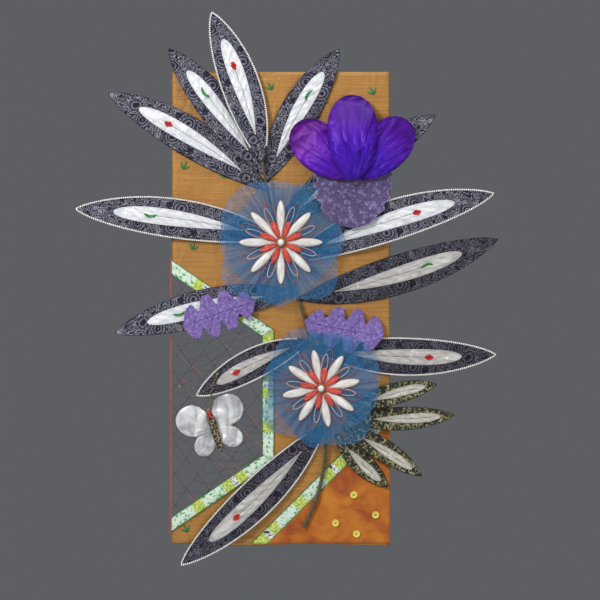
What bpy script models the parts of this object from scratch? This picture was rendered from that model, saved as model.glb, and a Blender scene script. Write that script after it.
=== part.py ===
"""A wall hanging of layered cloth, built piece by piece as it is cut, padded and sewn.

X runs to the right, Z up, the front faces -Y, and the wall is the plane Y = 0.
The origin is the middle of the ground cloth's top edge, at the wall.
A lift is the distance of a point in front of the ground cloth's own front face.
Each piece is laid on those before it: it reads their lifts and stays clear of them.
"""

import math
from collections import namedtuple

import bmesh
import bpy

# The ground cloth
PANEL_WIDTH = 0.480
PANEL_HEIGHT = 1.040
PANEL_THICKNESS = 0.003
WALL_GAP = 0.0035
RIPPLE = 0.0012
FLAT_TOP = 0.200
HEM_SWAY = 0.0025
GROUND_CELL = 0.052

# The open window at the left edge, its net and the cord down its outer side
WINDOW_TOP = -0.430
WINDOW_BOTTOM = -0.995
WINDOW_REACH = 0.212
WINDOW_SLOPE = 0.145
NET_THICKNESS = 0.0012
NET_BORDER = 0.007
NET_STRAND = 0.0024
NET_PITCH_X = 0.050
NET_PITCH_Z = 0.068
NET_SWAY = 0.008
SMALLEST_GAP = 9e-5
EDGE_CORD_DIAMETER = 0.003
EDGE_CORD_OVERRUN = 0.022

# Pieced borders and the corner block
BORDER_WIDTH = 0.026
BORDER_THICKNESS = 0.0014
CORNER_TOP = -0.752
CORNER_LEFT = -0.048
CORNER_THICKNESS = 0.0014
BUTTON_RADIUS = 0.0078
BUTTON_HEIGHT = 0.0032

# Cloth pieces
CLEAR = 0.0004
LEAF_THICKNESS = 0.0022
RIM = 0.0010
STEM_WIDTH = 0.011
STEM_CROWN = 0.006
VEIL_THICKNESS = 0.0010
VEIL_CLEAR = 0.0020
VEIL_PLEAT = 0.0024
BLUNT = 0.03

Point = namedtuple("Point", "x z")
Leaf = namedtuple("Leaf", "name along angle length width bend tip twist")
Sprig = namedtuple("Sprig", "name x z angle length width bend tip")
Petal = namedtuple("Petal", "name x z angle length width crown")
Star = namedtuple("Star", "name along long_point short_point turn")
Step = namedtuple("Step", "share turn rise")
Oak = namedtuple("Oak", "name x z angle length width")

# The branch rises from the hem and leans to the upper left.
BRANCH = (Point(0.050, -1.000), Point(0.185, -0.760), Point(0.000, -0.480), Point(-0.040, -0.200))

# Leaves that lie next to the ground, then those laid over them.
LOWER_LEAVES = (
    Leaf("leaf_crown_right", 0.950, 68, 0.330, 0.084, -0.12, 0.006, 0.003),
    Leaf("leaf_crown_left", 0.930, 143, 0.405, 0.086, 0.10, 0.012, 0.004),
    Leaf("leaf_high_right", 0.830, 41, 0.425, 0.088, -0.10, 0.008, 0.003),
    Leaf("leaf_middle_right", 0.640, 11, 0.455, 0.088, 0.10, 0.010, 0.004),
    Leaf("leaf_middle_left", 0.660, 187, 0.405, 0.082, 0.10, 0.008, 0.003),
    Leaf("leaf_crown_back", 0.970, 124, 0.345, 0.080, 0.06, 0.006, 0.003),
)
UPPER_LEAVES = (
    Leaf("leaf_top", 1.000, 103, 0.345, 0.086, 0.10, 0.016, 0.005),
    Leaf("leaf_far_left", 0.800, 166, 0.450, 0.088, 0.10, 0.016, 0.005),
    Leaf("leaf_far_right", 0.740, 25, 0.475, 0.090, -0.12, 0.018, 0.005),
    Leaf("leaf_side_right", 0.510, -9, 0.400, 0.084, 0.12, 0.014, 0.005),
    Leaf("leaf_foot_left", 0.300, 230, 0.440, 0.086, -0.10, 0.012, 0.004),
    Leaf("leaf_low_left", 0.530, 199, 0.275, 0.070, 0.12, 0.008, 0.003),
)
SPRIG_LEAVES = (
    Sprig("sprig_leaf_1", 0.118, -0.795, -50, 0.165, 0.049, 0.08, 0.004),
    Sprig("sprig_leaf_2", 0.134, -0.780, -27, 0.205, 0.050, -0.08, 0.008),
    Sprig("sprig_leaf_3", 0.144, -0.761, -3, 0.235, 0.052, 0.08, 0.010),
    Sprig("sprig_leaf_4", 0.148, -0.739, 20, 0.200, 0.048, -0.08, 0.008),
)
TULIP_PETALS = (
    Petal("tulip_right", 0.168, -0.232, 47, 0.165, 0.104, 0.010),
    Petal("tulip_left", 0.150, -0.232, 136, 0.165, 0.104, 0.010),
    Petal("tulip_centre", 0.159, -0.240, 91, 0.188, 0.112, 0.017),
)
OAKS = (
    Oak("oak_leaf_right", 0.052, -0.548, -14, 0.176, 0.100),
    Oak("oak_leaf_left", -0.055, -0.505, 196, 0.168, 0.096),
)
STARS = (
    Star("upper", 0.790, 0.092, 0.050, 0.0),
    Star("lower", 0.400, 0.086, 0.047, 11.0),
)
# The outline of one star point, from its middle ridge round to the notch before the next.
STAR_STEPS = (Step(1.00, 0.0, 0.0), Step(0.52, 8.0, 0.006), Step(0.24, 22.5, 0.0), Step(0.52, 37.0, 0.006))
STAR_CROWN = 0.085
VEIL_RADII = {"upper": 0.138, "lower": 0.128}
BUTTONS = (
    Point(0.212, -0.884),
    Point(0.160, -0.930),
    Point(0.208, -0.974),
    Point(0.120, -0.992),
    Point(0.166, -1.016),
)
BUTTERFLY = Point(-0.146, -0.785)
BUTTERFLY_TURN = 18

COLOURS = {
    "gold_silk": ((0.55, 0.33, 0.10), 0.45, 0.0),
    "net_thread": ((0.06, 0.05, 0.06), 0.70, 0.0),
    "coral_cord": ((0.62, 0.20, 0.12), 0.60, 0.0),
    "pieced_border": ((0.55, 0.70, 0.48), 0.80, 0.0),
    "orange_batik": ((0.72, 0.27, 0.02), 0.75, 0.0),
    "yellow_button": ((0.90, 0.80, 0.20), 0.30, 0.0),
    "dark_jacquard": ((0.055, 0.050, 0.085), 0.60, 0.0),
    "white_satin": ((0.82, 0.82, 0.80), 0.35, 0.0),
    "olive_print": ((0.07, 0.07, 0.04), 0.75, 0.0),
    "cream_satin": ((0.78, 0.75, 0.68), 0.35, 0.0),
    "branch_cord": ((0.16, 0.06, 0.04), 0.70, 0.0),
    "star_white": ((0.86, 0.84, 0.80), 0.40, 0.0),
    "star_coral": ((0.80, 0.13, 0.07), 0.40, 0.0),
    "blue_veil": ((0.10, 0.32, 0.55), 0.50, 0.0),
    "purple_satin": ((0.16, 0.02, 0.42), 0.35, 0.0),
    "lavender_lace": ((0.26, 0.18, 0.50), 0.80, 0.0),
    "lavender_batik": ((0.30, 0.17, 0.60), 0.80, 0.0),
    "silver_satin": ((0.70, 0.70, 0.72), 0.35, 0.0),
    "gold_brocade": ((0.12, 0.10, 0.05), 0.50, 0.0),
}

LAID = []


def clear_scene():
    """Empties Blender's startup scene."""
    for obj in list(bpy.data.objects):
        bpy.data.objects.remove(obj)


def material(name):
    """The cloth's own material, made once."""
    found = bpy.data.materials.get(name)
    if found:
        return found
    colour, roughness, metallic = COLOURS[name]
    made = bpy.data.materials.new(name)
    made.use_nodes = True
    shader = made.node_tree.nodes["Principled BSDF"]
    shader.inputs["Base Color"].default_value = (*colour, 1.0)
    shader.inputs["Roughness"].default_value = roughness
    shader.inputs["Metallic"].default_value = metallic
    return made


def ground_out(x, z):
    """How far the ground cloth's front stands off the wall: flat at the top edge, then in slow ripples."""
    hang = min(1.0, max(0.0, -z / FLAT_TOP))
    wave = math.sin(11.0 * x + 3.0 * z) + 0.6 * math.sin(7.0 * z - 4.0 * x)
    return PANEL_THICKNESS + hang * (WALL_GAP + RIPPLE * wave)


def turned(degrees):
    """The unit vector at this angle from X towards Z, as (x, z)."""
    angle = math.radians(degrees)
    return math.cos(angle), math.sin(angle)


def branch_point(along):
    """The point of the branch at a share of its length, from the hem up."""
    rest = 1 - along
    weights = (rest**3, 3 * rest**2 * along, 3 * rest * along**2, along**3)
    x = sum(w * p.x for w, p in zip(weights, BRANCH))
    z = sum(w * p.z for w, p in zip(weights, BRANCH))
    return Point(x, z)


def add_object(name, mesh, cloth):
    """Puts a finished mesh in the scene as one named sub-part."""
    mesh.materials.append(material(cloth))
    obj = bpy.data.objects.new(name, mesh)
    bpy.context.scene.collection.objects.link(obj)
    return obj


def mesh_from(name, points, faces):
    """A mesh with all its faces turned outwards."""
    shape = bmesh.new()
    verts = [shape.verts.new(p) for p in points]
    for face in faces:
        shape.faces.new([verts[i] for i in face])
    bmesh.ops.recalc_face_normals(shape, faces=shape.faces)
    mesh = bpy.data.meshes.new(name)
    shape.to_mesh(mesh)
    shape.free()
    return mesh


def on_cloth(x, z, lift):
    """A point in space, from its place on the ground cloth and its lift."""
    return (x, -(ground_out(x, z) + lift), z)


def inside(outline, x, z):
    """Whether a point of the cloth lies inside a closed outline."""
    found = False
    for a, b in zip(outline, outline[1:] + outline[:1]):
        if (a[1] > z) != (b[1] > z) and x < a[0] + (z - a[1]) * (b[0] - a[0]) / (b[1] - a[1]):
            found = not found
    return found


def bounds(rows):
    """The least and greatest x and z of some rows of places."""
    xs = [p[0] for row in rows for p in row]
    zs = [p[1] for row in rows for p in row]
    return min(xs), max(xs), min(zs), max(zs)


def within(box, x, z):
    """Whether a point lies in a box."""
    return box[0] <= x <= box[1] and box[2] <= z <= box[3]


class Laid:
    """A piece already in place: its outline in plan, and the lift of its front."""

    def __init__(self, rows, fronts):
        self.rows = rows
        self.fronts = fronts
        self.box = bounds(rows)
        self.strip_boxes = [bounds(pair) for pair in zip(rows, rows[1:])]

    def front_at(self, x, z):
        """The lift of the front at a point, or None outside the piece."""
        if not within(self.box, x, z):
            return None
        for i, box in enumerate(self.strip_boxes):
            if not within(box, x, z):
                continue
            near, far = self.rows[i], self.rows[i + 1]
            for j in range(len(near) - 1):
                if inside([near[j], near[j + 1], far[j + 1], far[j]], x, z):
                    return max(self.fronts[i][j], self.fronts[i][j + 1],
                               self.fronts[i + 1][j + 1], self.fronts[i + 1][j])
        return None


def relief(x, z, reach):
    """The highest front of what is laid within reach of a point."""
    best = 0.0
    for radius in (0.0, 0.34 * reach, 0.67 * reach, reach):
        for k in range(10 if radius else 1):
            across, up = turned(36 * k)
            for piece in LAID:
                lift = piece.front_at(x + radius * across, z + radius * up)
                if lift is not None:
                    best = max(best, lift)
    return best


def taut(lifts, rounds=3, ring=False):
    """Lifts drawn taut: stiff cloth spans a dip between two high places, also round a ring."""
    rows = [list(row) for row in lifts]
    for _ in range(rounds):
        for i in range(1, len(rows) - 1):
            rows[i] = [max(own, (near + far) / 2)
                       for near, own, far in zip(rows[i - 1], rows[i], rows[i + 1])]
        if ring:
            rows = [[max(own, (row[k - 1] + row[(k + 1) % len(row)]) / 2)
                     for k, own in enumerate(row)] for row in rows]
    return rows


def sheet(name, plan, backs, thicknesses, cloth, cyclic=False):
    """A closed solid over a grid of places, with its back and its thickness at each of them."""
    rows, columns = len(plan), len(plan[0])
    points = []
    for depth in (0, 1):
        for i in range(rows):
            for j in range(columns):
                lift = backs[i][j] + depth * thicknesses[i][j]
                points.append(on_cloth(*plan[i][j], lift))
    layer = rows * columns

    def at(depth, i, j):
        return depth * layer + i * columns + j % columns

    faces = []
    spans = columns if cyclic else columns - 1
    for i in range(rows - 1):
        for j in range(spans):
            for depth in (0, 1):
                faces.append((at(depth, i, j), at(depth, i, j + 1),
                              at(depth, i + 1, j + 1), at(depth, i + 1, j)))
    if cyclic:
        faces.append([at(0, 0, j) for j in range(columns)])
        faces.append([at(1, 0, j) for j in range(columns)])
        for j in range(columns):
            faces.append((at(0, rows - 1, j), at(0, rows - 1, j + 1),
                          at(1, rows - 1, j + 1), at(1, rows - 1, j)))
    else:
        for j in range(columns - 1):
            for i in (0, rows - 1):
                faces.append((at(0, i, j), at(0, i, j + 1), at(1, i, j + 1), at(1, i, j)))
        for i in range(rows - 1):
            for j in (0, columns - 1):
                faces.append((at(0, i, j), at(0, i + 1, j), at(1, i + 1, j), at(1, i, j)))
    return add_object(name, mesh_from(name, points, faces), cloth)


def lay(plan, backs, thicknesses, centre=None):
    """Records a piece, so that the next ones lie over it. Rings close, and fill in to their centre."""
    fronts = [[b + t for b, t in zip(*pair)] for pair in zip(backs, thicknesses)]
    if centre:
        plan = [row + row[:1] for row in plan]
        fronts = [row + row[:1] for row in fronts]
        plan.insert(0, [tuple(centre)] * len(plan[0]))
        fronts.insert(0, [max(fronts[0])] * len(fronts[0]))
    LAID.append(Laid(plan, fronts))


def lens(share, rise, fall, root):
    """A blade's half width at a share of its length, against its greatest."""
    peak = rise / (rise + fall)
    full = (share / peak) ** rise * ((1 - share) / (1 - peak)) ** fall
    return max(full, root * (1 - share), BLUNT)


class Blade:
    """A length of cloth cut along a bent centreline, pointed or round at its end."""

    def __init__(self, root, angle, length, width, bend, rise=0.8, fall=0.75, foot=0.14, lobes=0, depth=0.0):
        self.root = root
        self.length = length
        self.width = width
        self.bend = bend
        self.rise, self.fall, self.foot = rise, fall, foot
        self.lobes, self.depth = lobes, depth
        self.along = turned(angle)
        self.across = turned(angle + 90)

    def half_width(self, share):
        """Half the width at a share of the length, with lobes where the cloth has them."""
        wave = 1.0 - self.depth * (0.5 + 0.5 * math.cos(2 * math.pi * self.lobes * share))
        return self.width / 2 * lens(share, self.rise, self.fall, self.foot) * wave

    def place(self, share, side):
        """The place on the cloth at a share of the length and of the half width."""
        forward = self.length * share
        aside = self.bend * self.length * share**2 + side * self.half_width(share)
        return (self.root.x + forward * self.along[0] + aside * self.across[0],
                self.root.z + forward * self.along[1] + aside * self.across[1])

    def plan(self, stations, columns, first=0.0, last=1.0):
        """Rows of places from the foot to the tip."""
        rows = []
        for i in range(stations + 1):
            share = first + (last - first) * i / stations
            rows.append([self.place(share, 2 * j / columns - 1) for j in range(columns + 1)])
        return rows


def sides(columns):
    """The side of each column of a piece, from -1 to 1."""
    return [2 * j / columns - 1 for j in range(columns + 1)]


def lay_leaf(blade, name, cloth, camber, tip, twist, stations=11, columns=4, reach=0.030):
    """A stiffened leaf: it arches across, lifts towards its tip and turns up one edge."""
    plan = blade.plan(stations, columns)
    rests = taut([[relief(*p, reach) for p in row] for row in plan])
    backs = []
    for i, row in enumerate(rests):
        share = i / stations
        arch = camber * math.sin(math.pi * min(1.0, share + 0.12))
        rise = [CLEAR + arch * (1 - u * u) + tip * share**2 + twist * (1 + u) * share**2 / 2
                for u in sides(columns)]
        backs.append([rest + lift for rest, lift in zip(row, rise)])
    thick = [[LEAF_THICKNESS] * (columns + 1) for _ in plan]
    sheet(name, plan, backs, thick, cloth)
    lay(plan, backs, thick)
    return backs


def between(row, side):
    """A row's lift at a side from -1 to 1, between its columns."""
    spot = (side + 1) / 2 * (len(row) - 1)
    j = min(int(spot), len(row) - 2)
    return row[j] + (spot - j) * (row[j + 1] - row[j])


def warp(lifts):
    """How far a cell's middle can stand off its diagonals, at the most."""
    return max(abs(a + d - b - c) / 4 for near, far in zip(lifts, lifts[1:])
               for a, b, c, d in zip(near, near[1:], far, far[1:]))


def lay_inlay(blade, leaf_backs, name, cloth, width, crown, first, last):
    """A padded slip of satin on a leaf, from the leaf's first to its last station given."""
    stations = len(leaf_backs) - 1
    clear = CLEAR + warp(leaf_backs[first:last + 1])
    plan, backs, thick = [], [], []
    for i in range(first, last + 1):
        step = (i - first) / (last - first)
        half = width / 2 * lens(step, 0.60, 0.62, 0.24) / blade.half_width(i / stations)
        half = max(half, 0.045)
        columns = [half * u for u in sides(4)]
        swell = math.sin(math.pi * (0.10 + 0.80 * step))
        plan.append([blade.place(i / stations, u) for u in columns])
        backs.append([between(leaf_backs[i], u) + LEAF_THICKNESS + clear for u in columns])
        thick.append([RIM + crown * swell * math.sqrt(1 - 0.96 * u * u) for u in sides(4)])
    sheet(name, plan, backs, thick, cloth)
    lay(plan, backs, thick)


def window_outline():
    """The corners of the open window, from its upper corner at the panel's edge, clockwise."""
    left = -PANEL_WIDTH / 2
    right = left + WINDOW_REACH
    return [(left, WINDOW_TOP), (right, WINDOW_TOP - WINDOW_SLOPE),
            (right, WINDOW_BOTTOM + WINDOW_SLOPE), (left, WINDOW_BOTTOM)]


def inset(outline, distance):
    """A convex clockwise outline drawn in by a distance."""
    lines = []
    for a, b in zip(outline, outline[1:] + outline[:1]):
        run = math.hypot(b[0] - a[0], b[1] - a[1])
        normal = ((b[1] - a[1]) / run, -(b[0] - a[0]) / run)
        lines.append((normal, normal[0] * a[0] + normal[1] * a[1] + distance))
    corners = []
    for (n, c), (m, d) in zip(lines[-1:] + lines[:-1], lines):
        det = n[0] * m[1] - n[1] * m[0]
        corners.append(((c * m[1] - d * n[1]) / det, (n[0] * d - m[0] * c) / det))
    return corners


def clipped(shape, outline):
    """A convex shape cut down to what lies inside a convex clockwise outline."""
    for a, b in zip(outline, outline[1:] + outline[:1]):
        kept = []
        for p, q in zip(shape, shape[1:] + shape[:1]):
            side_p = (b[0] - a[0]) * (p[1] - a[1]) - (b[1] - a[1]) * (p[0] - a[0])
            side_q = (b[0] - a[0]) * (q[1] - a[1]) - (b[1] - a[1]) * (q[0] - a[0])
            if side_p <= 0:
                kept.append(p)
            if side_p * side_q < 0:
                share = side_p / (side_p - side_q)
                kept.append((p[0] + share * (q[0] - p[0]), p[1] + share * (q[1] - p[1])))
        shape = kept
        if len(shape) < 3:
            return []
    return shape


def area(shape):
    """The area of a closed shape."""
    pairs = zip(shape, shape[1:] + shape[:1])
    return abs(sum(p[0] * q[1] - q[0] * p[1] for p, q in pairs)) / 2


def prism(name, outlines, front, back):
    """Straight-sided blocks over flat outlines, between two depths, in one mesh."""
    points, faces = [], []
    for outline in outlines:
        count, base = len(outline), len(points)
        points += [(x, -front, z) for x, z in outline] + [(x, -back, z) for x, z in outline]
        faces.append([base + i for i in range(count)])
        faces.append([base + count + i for i in range(count)])
        for i in range(count):
            j = (i + 1) % count
            faces.append((base + i, base + j, base + count + j, base + count + i))
    return mesh_from(name, points, faces)


def cut(blank, cutters):
    """The blank mesh less the cutters, as a new triangulated mesh."""
    holder = bpy.data.objects.new("blank", blank)
    knife = bpy.data.objects.new("knife", cutters)
    for obj in (holder, knife):
        bpy.context.scene.collection.objects.link(obj)
    boolean = holder.modifiers.new("cut", "BOOLEAN")
    boolean.object = knife
    boolean.operation = "DIFFERENCE"
    graph = bpy.context.evaluated_depsgraph_get()
    made = bpy.data.meshes.new_from_object(holder.evaluated_get(graph))
    for obj in (holder, knife):
        bpy.data.objects.remove(obj)
    shape = bmesh.new()
    shape.from_mesh(made)
    bmesh.ops.triangulate(shape, faces=shape.faces)
    shape.to_mesh(made)
    shape.free()
    made.materials.clear()
    return made


def ripple_mesh(mesh):
    """Moves a flat mesh, whose depths are lifts, onto the rippled ground."""
    for vertex in mesh.vertices:
        x, depth, z = vertex.co
        vertex.co = on_cloth(x, z, -depth)


def build_ground():
    """The ground cloth, with the window cut from its left side and a hem that sways a little."""
    columns = round(PANEL_WIDTH / GROUND_CELL)
    rows = round(PANEL_HEIGHT / GROUND_CELL)
    plan = []
    for i in range(rows + 1):
        share = i / rows
        row = []
        for j in range(columns + 1):
            x = PANEL_WIDTH * (j / columns - 0.5)
            sway = HEM_SWAY * share**6 * math.sin(23 * x)
            row.append((x, -PANEL_HEIGHT * share + sway))
        plan.append(row)
    layer = (rows + 1) * (columns + 1)
    points = [(x, y, z) for y in (0.0, PANEL_THICKNESS) for row in plan for x, z in row]

    def at(depth, i, j):
        return depth * layer + i * (columns + 1) + j

    faces = []
    for i in range(rows):
        for j in range(columns):
            for depth in (0, 1):
                faces.append((at(depth, i, j), at(depth, i, j + 1),
                              at(depth, i + 1, j + 1), at(depth, i + 1, j)))
        for j in (0, columns):
            faces.append((at(0, i, j), at(0, i + 1, j), at(1, i + 1, j), at(1, i, j)))
    for j in range(columns):
        for i in (0, rows):
            faces.append((at(0, i, j), at(0, i, j + 1), at(1, i, j + 1), at(1, i, j)))
    blank = mesh_from("ground_cloth", points, faces)
    outline = window_outline()
    overshoot = 0.02
    reach = [(outline[0][0] - overshoot, outline[0][1] + overshoot * WINDOW_SLOPE / WINDOW_REACH),
             outline[1], outline[2],
             (outline[3][0] - overshoot, outline[3][1] - overshoot * WINDOW_SLOPE / WINDOW_REACH)]
    mesh = cut(blank, prism("window", [reach], 0.05, -0.05))
    ripple_mesh(mesh)
    add_object("ground_cloth", mesh, "gold_silk")


def net_gaps(outline):
    """The open diamonds of the net, each cut down to the window inside its border."""
    field = inset(outline, NET_BORDER)
    half_x, half_z = NET_PITCH_X / 2, NET_PITCH_Z / 2
    run = math.hypot(half_x, half_z)
    reach_x = half_x - NET_STRAND / 2 * run / half_z
    reach_z = half_z - NET_STRAND / 2 * run / half_x
    gaps = []
    for row in range(int(-WINDOW_TOP / half_z), int(-WINDOW_BOTTOM / half_z) + 2):
        for column in range(-7, 2):
            x, z = (column + 0.5 * (row % 2)) * NET_PITCH_X, -row * half_z
            corners = ((x, z + reach_z), (x + reach_x, z), (x, z - reach_z), (x - reach_x, z))
            gap = clipped([(a + NET_SWAY * math.sin(9 * b), b) for a, b in corners], field)
            if gap and area(gap) > SMALLEST_GAP:
                gaps.append(gap)
    return gaps


def build_net():
    """The thread net that fills the window, in the thickness of the ground cloth."""
    outline = inset(window_outline(), 0.0004)
    mesh = cut(prism("net", [outline], -0.0004, -0.0004 - NET_THICKNESS),
               prism("gaps", net_gaps(window_outline()), 0.01, -0.01))
    ripple_mesh(mesh)
    add_object("net", mesh, "net_thread")


def tube(name, route, radius, cloth, spokes=8):
    """A round cord along a route of points in space."""
    curve = bpy.data.curves.new(name, "CURVE")
    curve.dimensions = "3D"
    curve.bevel_depth = radius
    curve.bevel_resolution = spokes // 4
    curve.use_fill_caps = True
    spline = curve.splines.new("POLY")
    spline.points.add(len(route) - 1)
    for point, place in zip(spline.points, route):
        point.co = (*place, 1.0)
    obj = bpy.data.objects.new(name, curve)
    bpy.context.scene.collection.objects.link(obj)
    curve.materials.append(material(cloth))
    return obj


def build_edge_cord():
    """The cord down the panel's left side, which closes the net's outer edge."""
    radius = EDGE_CORD_DIAMETER / 2
    x = -PANEL_WIDTH / 2 - CLEAR - radius
    top, bottom = WINDOW_TOP + EDGE_CORD_OVERRUN, WINDOW_BOTTOM - EDGE_CORD_OVERRUN
    steps = 24
    route = []
    for i in range(steps + 1):
        z = top + (bottom - top) * i / steps
        route.append(on_cloth(x, z, -PANEL_THICKNESS / 2))
    tube("edge_cord", route, radius, "coral_cord")


def strip_plan(start, end, start_cut, end_cut, width, stations):
    """Rows along a straight strip whose ends are cut by lines at the given angles."""
    run = math.hypot(end[0] - start[0], end[1] - start[1])
    along = ((end[0] - start[0]) / run, (end[1] - start[1]) / run)
    across = (-along[1], along[0])
    rows = []
    for i in range(stations + 1):
        share = i / stations
        row = []
        for side in (-1, 0, 1):
            slant = side * width / 2 * ((1 - share) * start_cut + share * end_cut)
            forward = run * share + slant
            row.append((start[0] + forward * along[0] + side * width / 2 * across[0],
                        start[1] + forward * along[1] + side * width / 2 * across[1]))
        rows.append(row)
    return rows


def build_border(name, plan):
    """One pieced border strip, laid flat over the edge that it covers."""
    backs = [[CLEAR for _ in row] for row in plan]
    thick = [[BORDER_THICKNESS for _ in row] for row in plan]
    sheet(name, plan, backs, thick, "pieced_border")
    lay(plan, backs, thick)


def build_borders():
    """The three mitred strips round the window, and the one on the corner block."""
    upper_left, upper_right, lower_right, lower_left = window_outline()
    lean = WINDOW_SLOPE / WINDOW_REACH
    half_corner = math.tan((math.pi / 2 - math.atan(lean)) / 2)
    join = 0.0004
    build_border("border_upper", strip_plan(upper_left, upper_right, -lean, half_corner, BORDER_WIDTH, 6))
    side = strip_plan(upper_right, lower_right, -half_corner, half_corner, BORDER_WIDTH, 7)
    side = [[(x, z - join + 2 * join * i / 7) for x, z in row] for i, row in enumerate(side)]
    build_border("border_side", side)
    build_border("border_lower", strip_plan(lower_right, lower_left, -half_corner, lean, BORDER_WIDTH, 6))
    half_panel = PANEL_WIDTH / 2
    top, foot = (half_panel, CORNER_TOP), (CORNER_LEFT, -PANEL_HEIGHT + HEM_SWAY)
    slope = (top[1] - foot[1]) / (top[0] - foot[0])
    build_border("border_corner", strip_plan(foot, top, -1 / slope, slope, BORDER_WIDTH, 8))


def build_corner_block():
    """The dyed triangle at the lower right, under its border, and the buttons on it."""
    right, foot = PANEL_WIDTH / 2, -PANEL_HEIGHT + HEM_SWAY
    slope = (CORNER_TOP - foot) / (right - CORNER_LEFT)
    drop = (BORDER_WIDTH / 2 + CLEAR) * math.hypot(1, slope)
    high = CORNER_TOP - drop
    low_left = CORNER_LEFT + drop / slope
    rows = 7
    plan = []
    for i in range(rows + 1):
        z = high - 0.004 + (foot - high + 0.004) * i / rows
        left = right + (z - high) / slope
        left = max(left, low_left)
        plan.append([(left + (right - left) * j / 5, z) for j in range(6)])
    backs = [[CLEAR for _ in row] for row in plan]
    thick = [[CORNER_THICKNESS for _ in row] for row in plan]
    sheet("corner_block", plan, backs, thick, "orange_batik")
    lay(plan, backs, thick)
    for number, place in enumerate(BUTTONS, 1):
        build_button(f"button_{number}", place)


def build_button(name, centre):
    """A turned button: a raised rim round a shallow dish."""
    lift = CORNER_THICKNESS + 2 * CLEAR
    radius, height = BUTTON_RADIUS, BUTTON_HEIGHT
    profile = ((0.90, 0.0), (1.0, 0.35), (0.96, 0.85), (0.84, 1.0), (0.66, 0.95), (0.56, 0.55))
    spokes = 10
    base_y = -(ground_out(*centre) + lift)
    points = []
    for share, rise in profile:
        for k in range(spokes):
            across, up = turned(360 * k / spokes)
            points.append((centre.x + radius * share * across, base_y - height * rise,
                           centre.z + radius * share * up))
    faces = [[k for k in range(spokes)], [(len(profile) - 1) * spokes + k for k in range(spokes)]]
    for ring in range(len(profile) - 1):
        for k in range(spokes):
            m = (k + 1) % spokes
            faces.append((ring * spokes + k, ring * spokes + m,
                          (ring + 1) * spokes + m, (ring + 1) * spokes + k))
    add_object(name, mesh_from(name, points, faces), "yellow_button")


def build_leaves(leaves, camber, columns):
    """One layer of the branch's leaves, each with its padded inlay."""
    for leaf in leaves:
        blade = Blade(branch_point(leaf.along), leaf.angle, leaf.length, leaf.width, leaf.bend)
        backs = lay_leaf(blade, leaf.name, "dark_jacquard", camber, leaf.tip, leaf.twist, columns=columns)
        inlay = leaf.name.replace("leaf", "inlay")
        lay_inlay(blade, backs, inlay, "white_satin", 0.42 * leaf.width, 0.0032, 2, 9)


def build_branch():
    """The padded cord of the branch, over the feet of the leaves."""
    stations = 24
    plan = []
    for i in range(stations + 1):
        along = i / stations
        here, ahead = branch_point(along), branch_point(min(1.0, along + 0.01))
        if along >= 1:
            here, ahead = branch_point(0.99), branch_point(1.0)
        run = math.hypot(ahead.x - here.x, ahead.z - here.z)
        across = (-(ahead.z - here.z) / run, (ahead.x - here.x) / run)
        here = branch_point(along)
        half = STEM_WIDTH / 2 * (1.0 - 0.35 * along)
        plan.append([(here.x + u * half * across[0], here.z + u * half * across[1]) for u in sides(4)])
    backs = taut([[relief(*p, 0.030) + CLEAR for p in row] for row in plan], 6)
    backs = [[max(row)] * len(row) for row in backs]
    thick = [[RIM + STEM_CROWN * math.sqrt(1 - 0.96 * u * u) for u in sides(4)] for _ in plan]
    sheet("branch", plan, backs, thick, "branch_cord")
    lay(plan, backs, thick)


def build_sprig():
    """The small sprig of printed leaves at the lower right."""
    for leaf in SPRIG_LEAVES:
        blade = Blade(Point(leaf.x, leaf.z), leaf.angle, leaf.length, leaf.width, leaf.bend)
        backs = lay_leaf(blade, leaf.name, "olive_print", 0.002, leaf.tip, 0.002,
                         stations=8, columns=2, reach=0.024)
        inlay = leaf.name.replace("leaf", "inlay")
        lay_inlay(blade, backs, inlay, "cream_satin", 0.42 * leaf.width, 0.0030, 2, 7)


def polar_plan(centre, radius, rings, spokes, first=0.10):
    """Rings of places round a centre, out to a radius that changes with the angle."""
    plan = []
    for i in range(rings + 1):
        share = first + (1 - first) * i / rings
        row = []
        for k in range(spokes):
            angle = 360 * k / spokes
            across, up = turned(angle)
            reach = radius(angle) * share
            row.append((centre.x + reach * across, centre.z + reach * up))
        plan.append(row)
    return plan


def build_veils():
    """The two sheer veils, gathered at the stars and pleated towards their edges."""
    for star in STARS:
        centre = branch_point(star.along)
        size = VEIL_RADII[star.name]
        spokes, rings = 32, 5

        def radius(angle, size=size, turn=star.turn):
            """A soft-cornered square, a little uneven."""
            return size * (1 - 0.10 * math.cos(math.radians(4 * (angle + turn)))
                           + 0.03 * math.sin(math.radians(7 * angle + 40)))

        plan = polar_plan(centre, radius, rings, spokes)
        rests = taut([[relief(*p, 0.022) + VEIL_CLEAR for p in row] for row in plan], 8, ring=True)
        backs = [[rest + VEIL_PLEAT * (k % 2) * i / rings for k, rest in enumerate(row)]
                 for i, row in enumerate(rests)]
        thick = [[VEIL_THICKNESS for _ in row] for row in plan]
        sheet(f"veil_{star.name}", plan, backs, thick, "blue_veil", cyclic=True)
        lay(plan, backs, thick, centre)


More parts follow.
